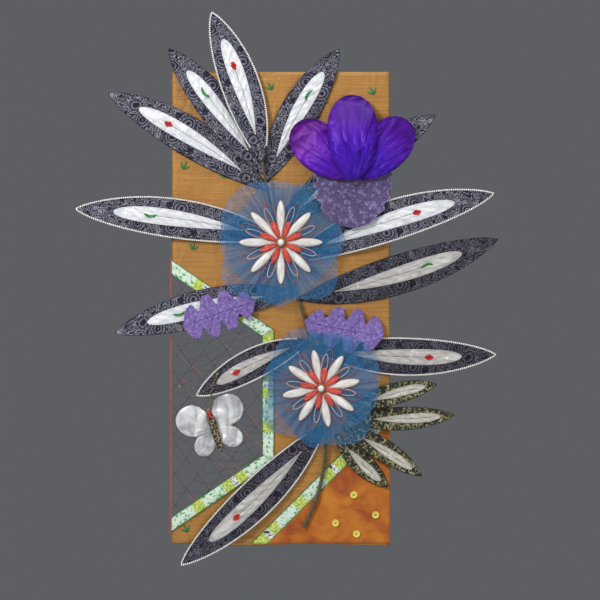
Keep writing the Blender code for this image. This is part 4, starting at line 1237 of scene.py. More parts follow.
@dataclass
class Leaf:
    """A stiffened leaf of printed cloth with a padded satin inlay, a stitched rib and beads."""

    node: str
    blade: Blade
    finish: Finish
    slot: str
    satin: Finish
    satin_slot: str
    first: float
    last: float
    crown: float = 0.0030
    pearls: bool = False
    trim: Trim = Trim.NONE
    ripple: float = 0.0008
    thickness: float = 0.0022
    inlay_width: float = 0.42
    motif_step: float = 0.72

    def build(self, pile: Pile, bead: Shape) -> None:
        """Lays the leaf and all that is on it.

        Args:
            pile: What lies below.
            bead: The bead that its pearls and motifs are made of.
        """
        surface = self._lay_cloth(pile)
        padded = self._lay_inlay(pile, surface)
        self._lay_rib(padded)
        if self.pearls:
            self._string_pearls(pile, surface, bead)
        if self.trim is not Trim.NONE:
            self._work_motif(pile, padded, bead)

    def _lay_cloth(self, pile: Pile) -> Surface:
        """The leaf's own cloth, with a top-stitched hem and slightly wavy edges."""
        blade = self.blade
        shares = np.linspace(0.0, 1.0, int(blade.length / 0.0055) + 1)
        sides = hem_sides(blade.width / 2, 9)
        share, side = np.meshgrid(shares, sides, indexing="ij")
        x, z = blade.place(share, side)
        hang = Solid(self.node).back(x, z)
        for _ in range(7):
            hang = smoothed(hang)
        phase = sum(map(ord, self.node))
        along = share * blade.length
        wave = np.sin(along * 2 * np.pi / 0.047 + phase) + 0.5 * np.sin(along * 2 * np.pi / 0.021 + 2 * phase)
        hang = hang + self.ripple * wave * np.abs(side) ** 3 * np.sign(side + 0.01)
        back = pile.drape(x, z, hang, reach=0.003, rounds=3)
        half = blade.half_width(share)
        edge = np.minimum((1 - np.abs(side)) * half, np.minimum(share, 1 - share) * blade.length)
        front = back - thinned(edge, self.thickness)
        front = front + 0.0004 * np.exp(-(((edge - 0.0042) / 0.0008) ** 2)) * step(0.006, 0.012, half)
        obj = closed_sheet(self.node.replace("leaf", "cloth_leaf"), x, z, back, front, side * half, along, edge)
        mount_piece(obj, self.finish.material(), self.slot, self.node)
        pile.stamp(obj)
        return Surface(shares, sides, np.stack([x, front, z], axis=-1))

    def _inlay_half(self, pace: Array) -> Array:
        """Half the inlay's width at a share of its own length: fullest towards the tip."""
        return self.inlay_width * self.blade.width / 2 * lens(pace, 0.95, 0.50, 0.08)

    def _lay_inlay(self, pile: Pile, surface: Surface) -> Surface:
        """The padded slip of satin down the middle of the leaf, which buckles inside its stitching."""
        blade = self.blade
        length = (self.last - self.first) * blade.length
        steps = np.concatenate([[0.0, 0.004], np.linspace(0.014, 0.986, int(length / 0.0026)), [0.996, 1.0]])
        sides = np.concatenate([[-1.0, -0.965], np.linspace(-0.91, 0.91, 15), [0.965, 1.0]])
        pace, side = np.meshgrid(steps, sides, indexing="ij")
        share = self.first + (self.last - self.first) * pace
        half = self._inlay_half(pace)
        ratio = half / blade.half_width(share)
        x, z = blade.place(share, side * ratio)
        back = surface.at(share, side * ratio)[..., 1] - 0.0003
        swell = np.sin(np.pi * (0.10 + 0.80 * pace))
        crown = self.crown * swell * np.sqrt(np.clip(1 - 0.97 * side**2, 0, 1))
        phase = sum(map(ord, self.node))
        nudge = 0.0004 * np.sin(pace * 41 + phase + 2.2 * side) * np.sin(side * 5 + pace * 23 + phase)
        trough = 0.0012 * swell * np.exp(-((side / 0.10) ** 2))
        front = back - RIM * 0.7 - crown - nudge * swell * (1 - side**2)
        face = settled(np.stack([x, front, z], axis=-1), sewn_rim(x.shape), 0.055, 1.5, 0.0024)
        face[..., 1] = np.minimum(face[..., 1] + trough, back - 0.0006)
        name = self.node.replace("leaf", "inlay")
        obj = closed_sheet("satin_" + name, x, z, back, face, side * half, share * blade.length,
                           (1 - np.abs(side)) * half)
        mount_piece(obj, self.satin.material(), self.satin_slot, name)
        pile.stamp(obj)
        return Surface(steps, sides, face)

    def _lay_rib(self, padded: Surface) -> None:
        """The stitched line along the middle of the inlay, up to its motif."""
        pace = np.linspace(0.02, self.motif_step if self.trim is not Trim.NONE else 0.86, 60)
        route = padded.at(pace, np.zeros_like(pace))
        bundle = Bundle()
        bundle.tube(route, 0.00055, 5)
        obj = bundle.build(self.node.replace("leaf", "rib"))
        mount_piece(obj, WINE_THREAD.material(), self.satin_slot)

    def _string_pearls(self, pile: Pile, surface: Surface, bead: Shape) -> None:
        """A string of pearls sewn round the leaf's edge."""
        radius = 0.0022
        share = np.linspace(0.10, 0.997, 400)
        half = self.blade.half_width(share)
        within = np.maximum(1 - 0.0014 / half, 0.0)
        route = np.concatenate([surface.at(share, -within), surface.at(share, within)[::-1]])
        route[:, 1] -= 0.0013
        length = np.concatenate([[0], np.cumsum(np.linalg.norm(np.diff(route, axis=0), axis=1))])
        stops = np.arange(0, length[-1], 2.10 * radius)
        bundle = Bundle()
        for place in np.stack([np.interp(stops, length, route[:, k]) for k in range(3)], axis=1):
            bundle.add(*bead.at(place, radius))
        obj = bundle.build(self.node.replace("leaf", "pearls"))
        mount_piece(obj, PEARL.material(), self.satin_slot)
        pile.stamp(obj)

    def _work_motif(self, pile: Pile, padded: Surface, bead: Shape) -> None:
        """A small oval of red beads or a curve of green ones near the inlay's tip."""
        if self.trim is Trim.RED_OVAL:
            radius, finish = 0.0020, RED_BEAD
            rows = ((-2, 2), (-1, 3), (0, 4), (1, 3), (2, 2))
            offsets = [(0.0035 * row, 0.0034 * (k - (count - 1) / 2)) for row, count in rows for k in range(count)]
        else:
            radius, finish = 0.0017, GREEN_BEAD
            stops = [0.0031 * (k - 4) for k in range(9)]
            offsets = [(stop, 0.0030 - 26.0 * stop**2 + lane) for stop in stops
                       for lane in ((-0.0016, 0.0016) if abs(stop) < 0.010 else (0.0,))]
        bundle = Bundle()
        length = (self.last - self.first) * self.blade.length
        for along, across in offsets:
            pace = self.motif_step + along / length
            place = padded.at(pace, across / float(self._inlay_half(np.array(pace))))
            bundle.add(*bead.at(place - (0, 0.4 * radius, 0), radius))
        obj = bundle.build(self.node.replace("leaf", "motif"))
        mount_piece(obj, finish.material(), self.satin_slot)
        pile.stamp(obj)


@dataclass(frozen=True)
class Growth:
    """One leaf of the branch: where it grows, its size, and what is worked on it."""

    name: str
    along: float
    angle: float
    length: float
    width: float
    bend: float
    pearls: bool
    trim: Trim


@dataclass
class Branch:
    """The branch with its two layers of leaves and the cord laid over their feet."""

    lower: tuple[Growth, ...] = (
        Growth("leaf_crown_right", 0.950, 68, 0.330, 0.084, -0.12, False, Trim.GREEN_CURVE),
        Growth("leaf_crown_left", 0.930, 143, 0.405, 0.086, 0.10, False, Trim.RED_OVAL),
        Growth("leaf_high_right", 0.830, 41, 0.425, 0.088, -0.10, False, Trim.RED_OVAL),
        Growth("leaf_middle_right", 0.640, 11, 0.455, 0.088, 0.10, False, Trim.GREEN_CURVE),
        Growth("leaf_middle_left", 0.660, 187, 0.405, 0.082, 0.10, False, Trim.GREEN_CURVE),
        Growth("leaf_crown_back", 0.970, 124, 0.345, 0.080, 0.06, False, Trim.GREEN_CURVE),
    )
    upper: tuple[Growth, ...] = (
        Growth("leaf_top", 1.000, 103, 0.345, 0.086, 0.10, True, Trim.RED_OVAL),
        Growth("leaf_far_left", 0.800, 166, 0.450, 0.088, 0.10, True, Trim.GREEN_CURVE),
        Growth("leaf_far_right", 0.740, 25, 0.475, 0.090, -0.12, True, Trim.RED_OVAL),
        Growth("leaf_side_right", 0.510, -9, 0.400, 0.084, 0.12, True, Trim.RED_OVAL),
        Growth("leaf_foot_left", 0.300, 230, 0.440, 0.086, -0.10, True, Trim.RED_OVAL),
        Growth("leaf_low_left", 0.530, 199, 0.275, 0.070, 0.12, True, Trim.RED_OVAL),
    )

    def build(self, pile: Pile, bead: Shape) -> None:
        """Lays both layers of leaves, then the cord."""
        for growth in (*self.lower, *self.upper):
            x, z = branch_point(growth.along)
            blade = Blade(x, z, growth.angle, growth.length, growth.width, growth.bend)
            # Leaves whose foot lies below z = -0.50 take the darker copies of the jacquard and the satin: painted shade
            # over the lower part of the hanging.
            satin, cloth = (WHITE_SATIN, GREY_JACQUARD) if z > -0.50 else (SHADED_GREY_SATIN, SHADED_DARK_JACQUARD)
            Leaf(growth.name, blade, cloth, "dark_jacquard", satin, "white_satin", 2 / 11, 9 / 11,
                 pearls=growth.pearls, trim=growth.trim).build(pile, bead)
        self._lay_cord(pile)

    def _lay_cord(self, pile: Pile) -> None:
        """A three-ply cord along the branch, thinner towards its top."""
        along = np.linspace(0.0, 1.0, 620)
        spots = np.array([branch_point(a) for a in along])
        x, z = spots[:, :1], spots[:, 1:]
        solid = Solid("branch")
        depth = solid.back(x, z)
        for _ in range(60):
            depth = smoothed(depth)
        radius = 0.0042 - 0.0014 * along
        limit = pile.foremost(x, z, 0.006)[:, 0] - radius * 1.1
        middle = np.minimum(depth[:, 0] - radius, limit)
        for _ in range(25):
            middle = np.minimum(np.convolve(np.pad(middle, 1, "edge"), (0.25, 0.5, 0.25), "valid"), limit)
        centre = np.stack([x[:, 0], middle, z[:, 0]], axis=1)
        run = np.gradient(centre, axis=0)
        run /= np.linalg.norm(run, axis=1, keepdims=True)
        across = np.cross(run, (0.0, 1.0, 0.0))
        across /= np.linalg.norm(across, axis=1, keepdims=True)
        out = np.cross(across, run)
        length = np.concatenate([[0], np.cumsum(np.linalg.norm(np.diff(centre, axis=0), axis=1))])
        plies = {"branch_cord_bark": ((0, 1), BARK_CORD), "branch_cord_moss": ((2,), MOSS_CORD)}
        for name, (numbers, finish) in plies.items():
            bundle = Bundle()
            for number in numbers:
                turn = length / 0.021 * 2 * np.pi + number * 2 * np.pi / 3
                swing = 0.52 * radius[:, None]
                ply = centre + swing * (np.cos(turn)[:, None] * across + np.sin(turn)[:, None] * out)
                bundle.tube(ply, radius * 0.54, 8)
            obj = bundle.build(name)
            mount_piece(obj, finish.material(), "branch_cord", *(("branch",) if name.endswith("bark") else ()))
            pile.stamp(obj)


@dataclass
class Sprig:
    """The small sprig of printed leaves at the lower right."""

    rows: tuple[tuple[float, ...], ...] = (
        (0.118, -0.795, -50, 0.165, 0.049, 0.08),
        (0.134, -0.780, -27, 0.205, 0.050, -0.08),
        (0.144, -0.761, -3, 0.235, 0.052, 0.08),
        (0.148, -0.739, 20, 0.200, 0.048, -0.08),
    )

    def build(self, pile: Pile, bead: Shape) -> None:
        """Lays the sprig's leaves from the lowest up."""
        for number, row in enumerate(self.rows, 1):
            Leaf(f"sprig_leaf_{number}", Blade(*row), OLIVE_PRINT, "olive_print", CREAM_SATIN, "cream_satin",
                 2 / 8, 7 / 8, crown=0.0026, ripple=0.0006).build(pile, bead)


@dataclass
class Ground:
    """The silk ground cloth with its window, hem and stitched tufts."""

    thickness: float = 0.003
    tufts: tuple[tuple[float, float, float], ...] = (
        (-0.208, -0.030, 62), (-0.020, -0.040, 116), (0.090, -0.075, 70), (0.205, -0.050, 118),
        (-0.215, -0.215, 66), (-0.120, -0.235, 112), (-0.195, -0.392, 70), (0.205, -0.352, 112),
        (-0.060, -0.515, 62), (0.195, -0.500, 74), (0.222, -0.860, 86), (0.030, -0.835, 118),
        (-0.095, -0.935, 64), (-0.205, -1.012, 116), (-0.015, -0.945, 112), (0.125, -0.818, 66),
    )

    def build(self, pile: Pile) -> None:
        """Lays the cloth, then sews the tufts on it."""
        rows, columns = 210, 78
        share, side = np.meshgrid(np.linspace(0, 1, rows), np.linspace(0, 1, columns), indexing="ij")
        marks = np.array([0.0, -WINDOW_TOP, WINDOW_SLOPE - WINDOW_TOP, -WINDOW_BOTTOM - WINDOW_SLOPE,
                          -WINDOW_BOTTOM, PANEL_HEIGHT])
        counts = np.round(marks / PANEL_HEIGHT * (rows - 1)).astype(int)
        fall = np.interp(np.arange(rows), counts, marks)[:, None] * np.ones_like(side)
        left = window_edge(-fall)
        right = PANEL_WIDTH / 2
        x = left + (right - left) * side
        sway = HEM_SWAY * (fall / PANEL_HEIGHT) ** 6 * np.sin(23 * x)
        z = -fall + sway
        hang = Solid("ground_cloth").back(x, z)
        for _ in range(10):
            hang = smoothed(hang)
        low = step(0.78, 1.04, fall)
        gather = np.sin(x * 2 * np.pi / 0.027 + 1.4 * np.sin(z * 40)) * (0.35 + 0.65 * np.sin(x * 9 + 1.0) ** 2)
        hang = hang - 0.0011 * low * gather - 0.0005 * np.sin(x * 55 + 8 * z) * np.sin(z * 38)
        hang = np.minimum(hang, -0.0001)
        edge = np.minimum.reduce([(x - left) + 0 * x, right - x, fall + 0 * x, PANEL_HEIGHT - fall])
        front = hang - thinned(edge, self.thickness) - 0.0005 * np.exp(-(((edge - 0.004) / 0.002) ** 2))
        obj = closed_sheet("silk_ground", x, z, hang, front, x, z, edge)
        mount_piece(obj, GOLD_SILK.material(), "gold_silk", "ground_cloth")
        pile.stamp(obj)
        self._sew_tufts(pile)

    def _sew_tufts(self, pile: Pile) -> None:
        """Small green tufts of three satin-stitched blades."""
        bundle = Bundle()
        for x, z, heading in self.tufts:
            for lean, length in ((-40, 0.0165), (0, 0.0215), (38, 0.0175)):
                blade = Blade(x, z, heading + lean, length, 0.0044, 0.02 * lean / 36, 0.7, 0.9, 0.3)
                share = np.linspace(0.0, 1.0, 7)
                bx, bz = blade.place(share, np.zeros(7))
                depth = pile.foremost(bx, bz, 0.001)
                route = np.stack([bx, depth - 0.0004, bz], axis=1)
                bundle.tube(route, np.maximum(blade.half_width(share), 0.0003), 6)
        obj = bundle.build("green_tufts")
        mount_piece(obj, GREEN_THREAD.material(), "gold_silk")


@dataclass
class NetWindow:
    """The openwork in the window: its net, the finer threads laid over it, and its outer cord."""

    pitch_x: float = 0.050
    pitch_z: float = 0.068
    sway: float = 0.008
    depth: float = -0.0068

    def build(self, pile: Pile) -> None:
        """Strings the net, the wandering threads, the knotted lines and the cord."""
        self._string_net()
        self._lay_wanderers()
        self._lay_knotted_lines()
        self._lay_edge_cord()

    def _inside(self, x: Array, z: Array, border: float) -> Array:
        """Which places lie in the window, away from its edges by a border."""
        lean = math.hypot(WINDOW_REACH, WINDOW_SLOPE) / WINDOW_SLOPE
        low = (z > WINDOW_BOTTOM) & (z < WINDOW_TOP)
        return low & (x > -PANEL_WIDTH / 2) & (x < window_edge(z) - border * np.where(
            window_edge(z) < -PANEL_WIDTH / 2 + WINDOW_REACH - 1e-6, lean, 1.0))

    def _line(self, bundle: Bundle, x: Array, z: Array, radius: float, lift: float = 0.0,
              border: float = -0.004) -> None:
        """Adds a thread along a route, kept to the window and a little under its edges."""
        keep = self._inside(x, z, border)
        if keep.sum() < 4:
            return
        numbers = np.flatnonzero(keep)
        for run in np.split(numbers, np.flatnonzero(np.diff(numbers) > 1) + 1):
            if len(run) > 3:
                route = np.stack([x[run], np.full(len(run), self.depth - lift), z[run]], axis=1)
                bundle.tube(route, radius, 5)

    def _string_net(self) -> None:
        """The diamond net: two sets of slanting threads and a knot where they cross."""
        half_x, half_z = self.pitch_x / 2, self.pitch_z / 2
        bundle = Bundle()
        z = np.linspace(WINDOW_TOP, WINDOW_BOTTOM, 160)
        for way in (-1, 1):
            for number in range(-34, 34):
                x = way * (-z / half_z) * half_x + (number + 0.5) * self.pitch_x
                bent = x + self.sway * np.sin(9 * z)
                self._line(bundle, bent, z, 0.00034, 0.0004 * (way + 1))
        for row in range(int(-WINDOW_TOP / half_z), int(-WINDOW_BOTTOM / half_z) + 2):
            for column in range(-7, 2):
                spot_x = (column + 0.5 * ((row + 1) % 2)) * self.pitch_x
                spot_z = -row * half_z
                spot_x += self.sway * math.sin(9 * spot_z)
                if self._inside(np.array([spot_x]), np.array([spot_z]), 0.004)[0]:
                    knot = np.array([[-0.0016, 0, 0.0004], [-0.0006, 0, 0.0001], [0.0006, 0, -0.0001],
                                     [0.0016, 0, -0.0004]])
                    bundle.tube(knot + (spot_x, self.depth - 0.0004, spot_z),
                                np.array([0.0003, 0.0009, 0.0009, 0.0003]), 6)
        obj = bundle.build("net_threads")
        mount_piece(obj, BLACK_THREAD.material(), "net_thread", "net")

    def _lay_wanderers(self) -> None:
        """Fine black threads that wander over the net in long, even curves."""
        bundle = Bundle()
        across = np.linspace(-PANEL_WIDTH / 2, -PANEL_WIDTH / 2 + WINDOW_REACH, 90)
        for number in range(24):
            middle = WINDOW_TOP - 0.030 - 0.0225 * number
            bow = 0.9 * (across + 0.13 + 0.05 * math.sin(0.7 * number)) ** 2 * (-1) ** (number // 4)
            z = middle + bow * 2.2 + 0.016 * np.sin(across * 23 + 0.45 * number) + 0.003 * np.sin(across * 90)
            self._line(bundle, across, z, 0.00030, 0.0022)
        obj = bundle.build("net_wandering_threads")
        mount_piece(obj, BLACK_THREAD.material(), "net_thread")

    def _lay_knotted_lines(self) -> None:
        """Coral thread in long broken stitches, with a knot at each end."""
        bundle = Bundle()
        for number, top in enumerate((-0.455, -0.500, -0.610, -0.655, -0.745, -0.770, -0.900)):
            dash = 0.014 + 0.004 * (number % 3)
            starts = np.arange(0.004 + 0.006 * number, WINDOW_REACH, dash + 0.009)
            for count, start in enumerate(starts):
                along = np.linspace(start, start + dash, 6)
                x, z = along - PANEL_WIDTH / 2, top - 0.86 * along + 0.10 * along * (WINDOW_REACH - along)
                self._line(bundle, x, z, 0.00050, 0.0030, 0.002)
                if (count + number) % 3 == 0 and self._inside(x[:1], z[:1], 0.004)[0]:
                    knot = np.array([[-0.0012, 0, 0], [0, 0, 0.0003], [0.0012, 0, 0]])
                    bundle.tube(knot + (x[0], self.depth - 0.0030, z[0]), np.array([0.0006, 0.0018, 0.0006]), 6)
        obj = bundle.build("net_coral_stitches")
        mount_piece(obj, CORAL_THREAD.material(), "net_thread")

    def _lay_edge_cord(self) -> None:
        """The two-ply cord down the window's open side."""
        overrun = 0.022
        x = -PANEL_WIDTH / 2 - CLEAR - 0.0015
        z = np.linspace(WINDOW_TOP + overrun, WINDOW_BOTTOM - overrun, 420)
        depth = Solid("edge_cord").back(np.full((420, 1), x), z[:, None])[:, 0]
        depth = np.convolve(np.pad(depth, 12, "edge"), np.full(25, 1 / 25), "valid") - 0.0015
        bundle = Bundle()
        for ply in (0, 1):
            turn = (z - z[0]) * 2 * np.pi / 0.0075 + ply * np.pi
            route = np.stack([x + 0.0007 * np.cos(turn), depth + 0.0007 * np.sin(turn), z], axis=1)
            bundle.tube(route, 0.00082, 6)
        obj = bundle.build("coral_edge_cord")
        mount_piece(obj, CORAL_THREAD.material(), "coral_cord", "edge_cord")


def strip_places(start: Sequence[float], end: Sequence[float], start_cut: float, end_cut: float,
                 share: Array, side: Array) -> tuple[Array, Array, float]:
    """Places along a straight strip whose ends are cut at a slant.

    Args:
        start: The middle of the strip's first end.
        end: The middle of its last end.
        start_cut: How far the first end runs on for each unit across.
        end_cut: The same for the last end.
        share: Shares of the length.
        side: Sides from -1 to 1.

    Returns:
        The x, the z and the strip's length.
    """
    run = math.hypot(end[0] - start[0], end[1] - start[1])
    along = ((end[0] - start[0]) / run, (end[1] - start[1]) / run)
    slant = side * BORDER_WIDTH / 2 * ((1 - share) * start_cut + share * end_cut)
    forward = run * share + slant
    aside = side * BORDER_WIDTH / 2
    return (start[0] + forward * along[0] - aside * along[1],
            start[1] + forward * along[1] + aside * along[0], run)


@dataclass
class Borders:
    """The pieced strips round the window and along the corner block."""

    thickness: float = 0.0014
    pattern: tuple[tuple[Print, float], ...] = (
        (Print.LEAVES, 0.064), (Print.LIME, 0.026), (Print.BLOCKS, 0.014), (Print.LIME, 0.024),
        (Print.LEAVES, 0.058), (Print.LIME, 0.030))

    def build(self, pile: Pile) -> None:
        """Lays the four strips."""
        upper_left, upper_right, lower_right, lower_left = window_outline()
        lean = WINDOW_SLOPE / WINDOW_REACH
        half_corner = math.tan((math.pi / 2 - math.atan(lean)) / 2)
        self._strip(pile, "border_upper", upper_left, upper_right, -lean, half_corner)
        self._strip(pile, "border_side", upper_right, lower_right, -half_corner, half_corner, 0.0004)
        self._strip(pile, "border_lower", lower_right, lower_left, -half_corner, lean)
        top, foot = (PANEL_WIDTH / 2, CORNER_TOP), (CORNER_LEFT, -PANEL_HEIGHT + HEM_SWAY)
        slope = (top[1] - foot[1]) / (top[0] - foot[0])
        self._strip(pile, "border_corner", foot, top, -1 / slope, slope)

    def _patches(self, run: float, first: int) -> tuple[Array, list[Print]]:
        """The shares at which a strip's patches meet, and each one's print."""
        prints, lengths = [], []
        while sum(lengths) < run - 0.012:
            kind, length = self.pattern[(first + len(prints)) % len(self.pattern)]
            prints.append(kind)
            lengths.append(length)
        return np.concatenate([[0.0], np.cumsum(lengths)]) / sum(lengths), prints

    def _strip(self, pile: Pile, node: str, start: Sequence[float], end: Sequence[float], start_cut: float,
               end_cut: float, join: float = 0.0) -> None:
        """One strip, sewn from patches of three prints, with a puffed middle and drawn-in seams."""
        run = math.hypot(end[0] - start[0], end[1] - start[1])
        cuts, prints = self._patches(run, len(node))
        shares = np.concatenate([np.linspace(low, high, 11)[:-1] for low, high in zip(cuts, cuts[1:])] + [[1.0]])
        sides = np.array([-1, -0.95, -0.86, -0.6, -0.3, 0, 0.3, 0.6, 0.86, 0.95, 1])
        share, side = np.meshgrid(shares, sides, indexing="ij")
        x, z, run = strip_places(start, end, start_cut, end_cut, share, side)
        z = z - join * (1 - 2 * share)
        hang = Solid(node).back(x, z)
        for _ in range(6):
            hang = smoothed(hang)
        back = pile.drape(x, z, hang, clear=0.0002, reach=0.002, rounds=2)
        edge = (1 - np.abs(side)) * BORDER_WIDTH / 2
        number = np.clip(np.searchsorted(cuts, share, "right") - 1, 0, len(prints) - 1)
        seam = np.abs((share - cuts[number]) / (cuts[number + 1] - cuts[number]) - 0.5)
        puff = 0.0011 * (1 - side**4) * (1 - (2 * seam) ** 6)
        front = back - thinned(edge, self.thickness) - puff
        obj = closed_sheet(node.replace("border", "pieced_border"), x, z, back, front,
                           side * BORDER_WIDTH / 2 + 0.31 * len(node), share * run, edge)
        mount_piece(obj, PrintedCotton(Print.LEAVES).material(), "pieced_border", node)
        kinds = (Print.LEAVES, Print.LIME, Print.BLOCKS)
        for kind in kinds[1:]:
            obj.data.materials.append(PrintedCotton(kind).material())
        for polygon in obj.data.polygons:
            middle = sum((Vector(obj.data.vertices[k].co) for k in polygon.vertices), Vector()) / len(polygon.vertices)
            along = ((middle.x - start[0]) * (end[0] - start[0]) + (middle.z - start[1]) * (end[1] - start[1])) / run**2
            patch = min(max(int(np.searchsorted(cuts, along, "right")) - 1, 0), len(prints) - 1)
            polygon.material_index = kinds.index(prints[patch])
        pile.stamp(obj)
        self._edging(pile, node, x, z, front)

    def _edging(self, pile: Pile, node: str, x: Array, z: Array, front: Array) -> None:
        """A thin dark cord sewn along both of the strip's long edges."""
        bundle = Bundle()
        for column, inner in ((0, 1), (-1, -2)):
            route = np.stack([(x[:, column] + x[:, inner]) / 2, front[:, inner] - 0.0003,
                              (z[:, column] + z[:, inner]) / 2], axis=1)
            bundle.tube(route, 0.0007, 6)
        obj = bundle.build(node.replace("border", "border_edging"))
        mount_piece(obj, GREEN_THREAD.material(), "pieced_border")


@dataclass
class Corner:
    """The dyed corner block and its buttons."""

    thickness: float = 0.0014
    buttons: tuple[tuple[float, float], ...] = (
        (0.212, -0.884), (0.160, -0.930), (0.208, -0.974), (0.120, -0.992), (0.166, -1.016))

    def build(self, pile: Pile) -> None:
        """Lays the block, then sews the buttons on."""
        right, foot = PANEL_WIDTH / 2, -PANEL_HEIGHT + HEM_SWAY
        slope = (CORNER_TOP - foot) / (right - CORNER_LEFT)
        drop = (BORDER_WIDTH / 2 + CLEAR) * math.hypot(1, slope)
        high = CORNER_TOP - drop
        share, side = np.meshgrid(np.linspace(0, 1, 70), np.linspace(0, 1, 50), indexing="ij")
        z = high - 0.004 + (foot - high + 0.004) * share
        left = np.maximum(right + (z - high) / slope, CORNER_LEFT + drop / slope)
        x = left + (right - left) * side
        hang = Solid("corner_block").back(x, z)
        for _ in range(6):
            hang = smoothed(hang)
        for button in self.buttons:
            away = np.hypot(x - button[0], z - button[1])
            angle = np.arctan2(z - button[1], x - button[0])
            pull = np.exp(-((away / 0.016) ** 2))
            hang = hang - 0.0009 * (1 - pull) * np.exp(-((away / 0.034) ** 2)) * (1 + 0.5 * np.sin(7 * angle))
        back = pile.drape(x, z, hang, clear=0.0002, reach=0.002, rounds=2)
        edge = np.minimum.reduce([x - left, right - x, z - foot])
        front = back - thinned(edge, self.thickness) - 0.0008 * step(0.0, 0.012, edge)
        obj = closed_sheet("batik_corner", x, z, back, front, x, z, edge)
        mount_piece(obj, ORANGE_BATIK.material(), "orange_batik", "corner_block")
        pile.stamp(obj)
        self._sew_buttons(pile)

    def _sew_buttons(self, pile: Pile) -> None:
        """Four-hole buttons, modelled once and copied, with their crossed threads."""
        shape = button_shape()
        threads = Bundle()
        for number, (x, z) in enumerate(self.buttons, 1):
            spot = (np.array([x]), np.array([z]))
            depth = float(pile.foremost(*spot, 0.006)[0]) - 0.0002
            verts, faces = shape.at((x, depth, z))
            obj = new_object(f"sewn_button_{number}", verts, faces)
            deselect()
            obj.select_set(True)
            bpy.context.view_layer.objects.active = obj
            bpy.ops.object.shade_smooth_by_angle(angle=math.radians(35))
            mount_piece(obj, YELLOW_GLOSS.material(), "yellow_button", f"button_{number}")
            for sign in (-1, 1):
                ends = 0.0016 * np.array([[-1, 0, -sign], [-0.5, 0, -sign * 0.5], [0.5, 0, sign * 0.5], [1, 0, sign]])
                ends[:, 1] = [0.0004, -0.0004, -0.0004, 0.0004]
                threads.tube(ends + (x, depth - 0.0021, z), 0.0004, 5)
        mount_piece(threads.build("button_threads"), BLACK_THREAD.material(), "yellow_button")


def button_shape() -> Shape:
    """A turned button that faces -Y: a rolled rim round a dished middle with four holes."""
    deselect()
    bpy.ops.mesh.primitive_cylinder_add(vertices=32, radius=0.0078, depth=0.0030, rotation=(math.pi / 2, 0, 0))
    button = bpy.context.object
    bpy.ops.object.transform_apply(location=False, rotation=True, scale=False)
    bpy.ops.object.mode_set(mode="EDIT")
    shape = bmesh.from_edit_mesh(button.data)
    for face in shape.faces:
        face.select = face.normal.y < -0.9
    bmesh.update_edit_mesh(button.data)
    bpy.ops.mesh.inset(thickness=0.0020)
    bpy.ops.mesh.inset(thickness=0.0006)
    bpy.ops.transform.translate(value=(0, 0.0012, 0))
    bpy.ops.object.mode_set(mode="OBJECT")
    bevel = button.modifiers.new("rolled", "BEVEL")
    bevel.width, bevel.segments, bevel.limit_method = 0.0006, 3, "ANGLE"
    bpy.ops.object.modifier_apply(modifier=bevel.name)
    for a in (-1, 1):
        for b in (-1, 1):
            deselect()
            bpy.ops.mesh.primitive_cylinder_add(vertices=12, radius=0.0008, depth=0.02, rotation=(math.pi / 2, 0, 0),
                                                location=(0.0016 * a, 0, 0.0016 * b))
            drill = bpy.context.object
            hole = button.modifiers.new("hole", "BOOLEAN")
            hole.object, hole.operation = drill, "DIFFERENCE"
            deselect()
            button.select_set(True)
            bpy.context.view_layer.objects.active = button
            bpy.ops.object.modifier_apply(modifier=hole.name)
            bpy.data.objects.remove(drill)
    for vertex in button.data.vertices:
        vertex.co.y -= 0.0015
    return Shape.taken_from(button)


@dataclass
class Veil:
    """Sheer net over the feet of the leaves, in two layers gathered at one centre."""

    name: str
    x: float
    z: float
    size: float
    turn: float

    def radius(self, angle: Array, layer: int) -> Array:
        """The veil's uneven outline, in degrees from X."""
        spin = angle + self.turn + 45 * layer
        size = self.size * (1.0 - 0.10 * layer)
        return size * (1 - 0.10 * np.cos(np.radians(4 * spin)) + 0.03 * np.sin(np.radians(7 * angle + 40))
                       + 0.008 * np.sin(np.radians(31 * angle)) + 0.005 * np.sin(np.radians(53 * angle + 20)))

    def build(self, pile: Pile) -> None:
        """Lays the veil's layers."""
        for layer in (0, 1):
            self._lay(pile, layer)

    def _lay(self, pile: Pile, layer: int) -> None:
        """One layer, pleated more and more towards its edge."""
        spokes = 180
        shares = np.concatenate([np.linspace(0.04, 0.97, 22), [0.992, 1.0]])
        share, number = np.meshgrid(shares, np.arange(spokes), indexing="ij")
        angle = 360 * number / spokes
        reach = self.radius(angle, layer) * share
        x = self.x + reach * np.cos(np.radians(angle))
        z = self.z + reach * np.sin(np.radians(angle))
        hang = Solid(f"veil_{self.name}").back(x, z)
        for _ in range(8):
            hang = smoothed(hang, ring=True)
        back = pile.drape(x, z, hang + 0.0004, clear=0.0007, reach=0.004, rounds=14, ring=True)
        a = np.radians(angle)
        pleat = (0.5 + 0.5 * np.sin(26 * a + 1.5 * np.sin(3 * a) + layer)) ** 2
        pleat += 0.5 * (0.5 + 0.5 * np.sin(43 * a + 2.0 * np.sin(5 * a + 1))) ** 2
        back = back - 0.0022 * pleat * step(0.10, 1.0, share)
        front = back - 0.0004
        edge = (1 - share) * self.radius(angle, layer)
        obj = closed_sheet(f"tulle_{self.name}_{layer + 1}", x, z, back, front, x - self.x, z - self.z, edge, ring=True)
        mount_piece(obj, BLUE_TULLE.material(), "blue_veil", f"veil_{self.name}")
        pile.stamp(obj)


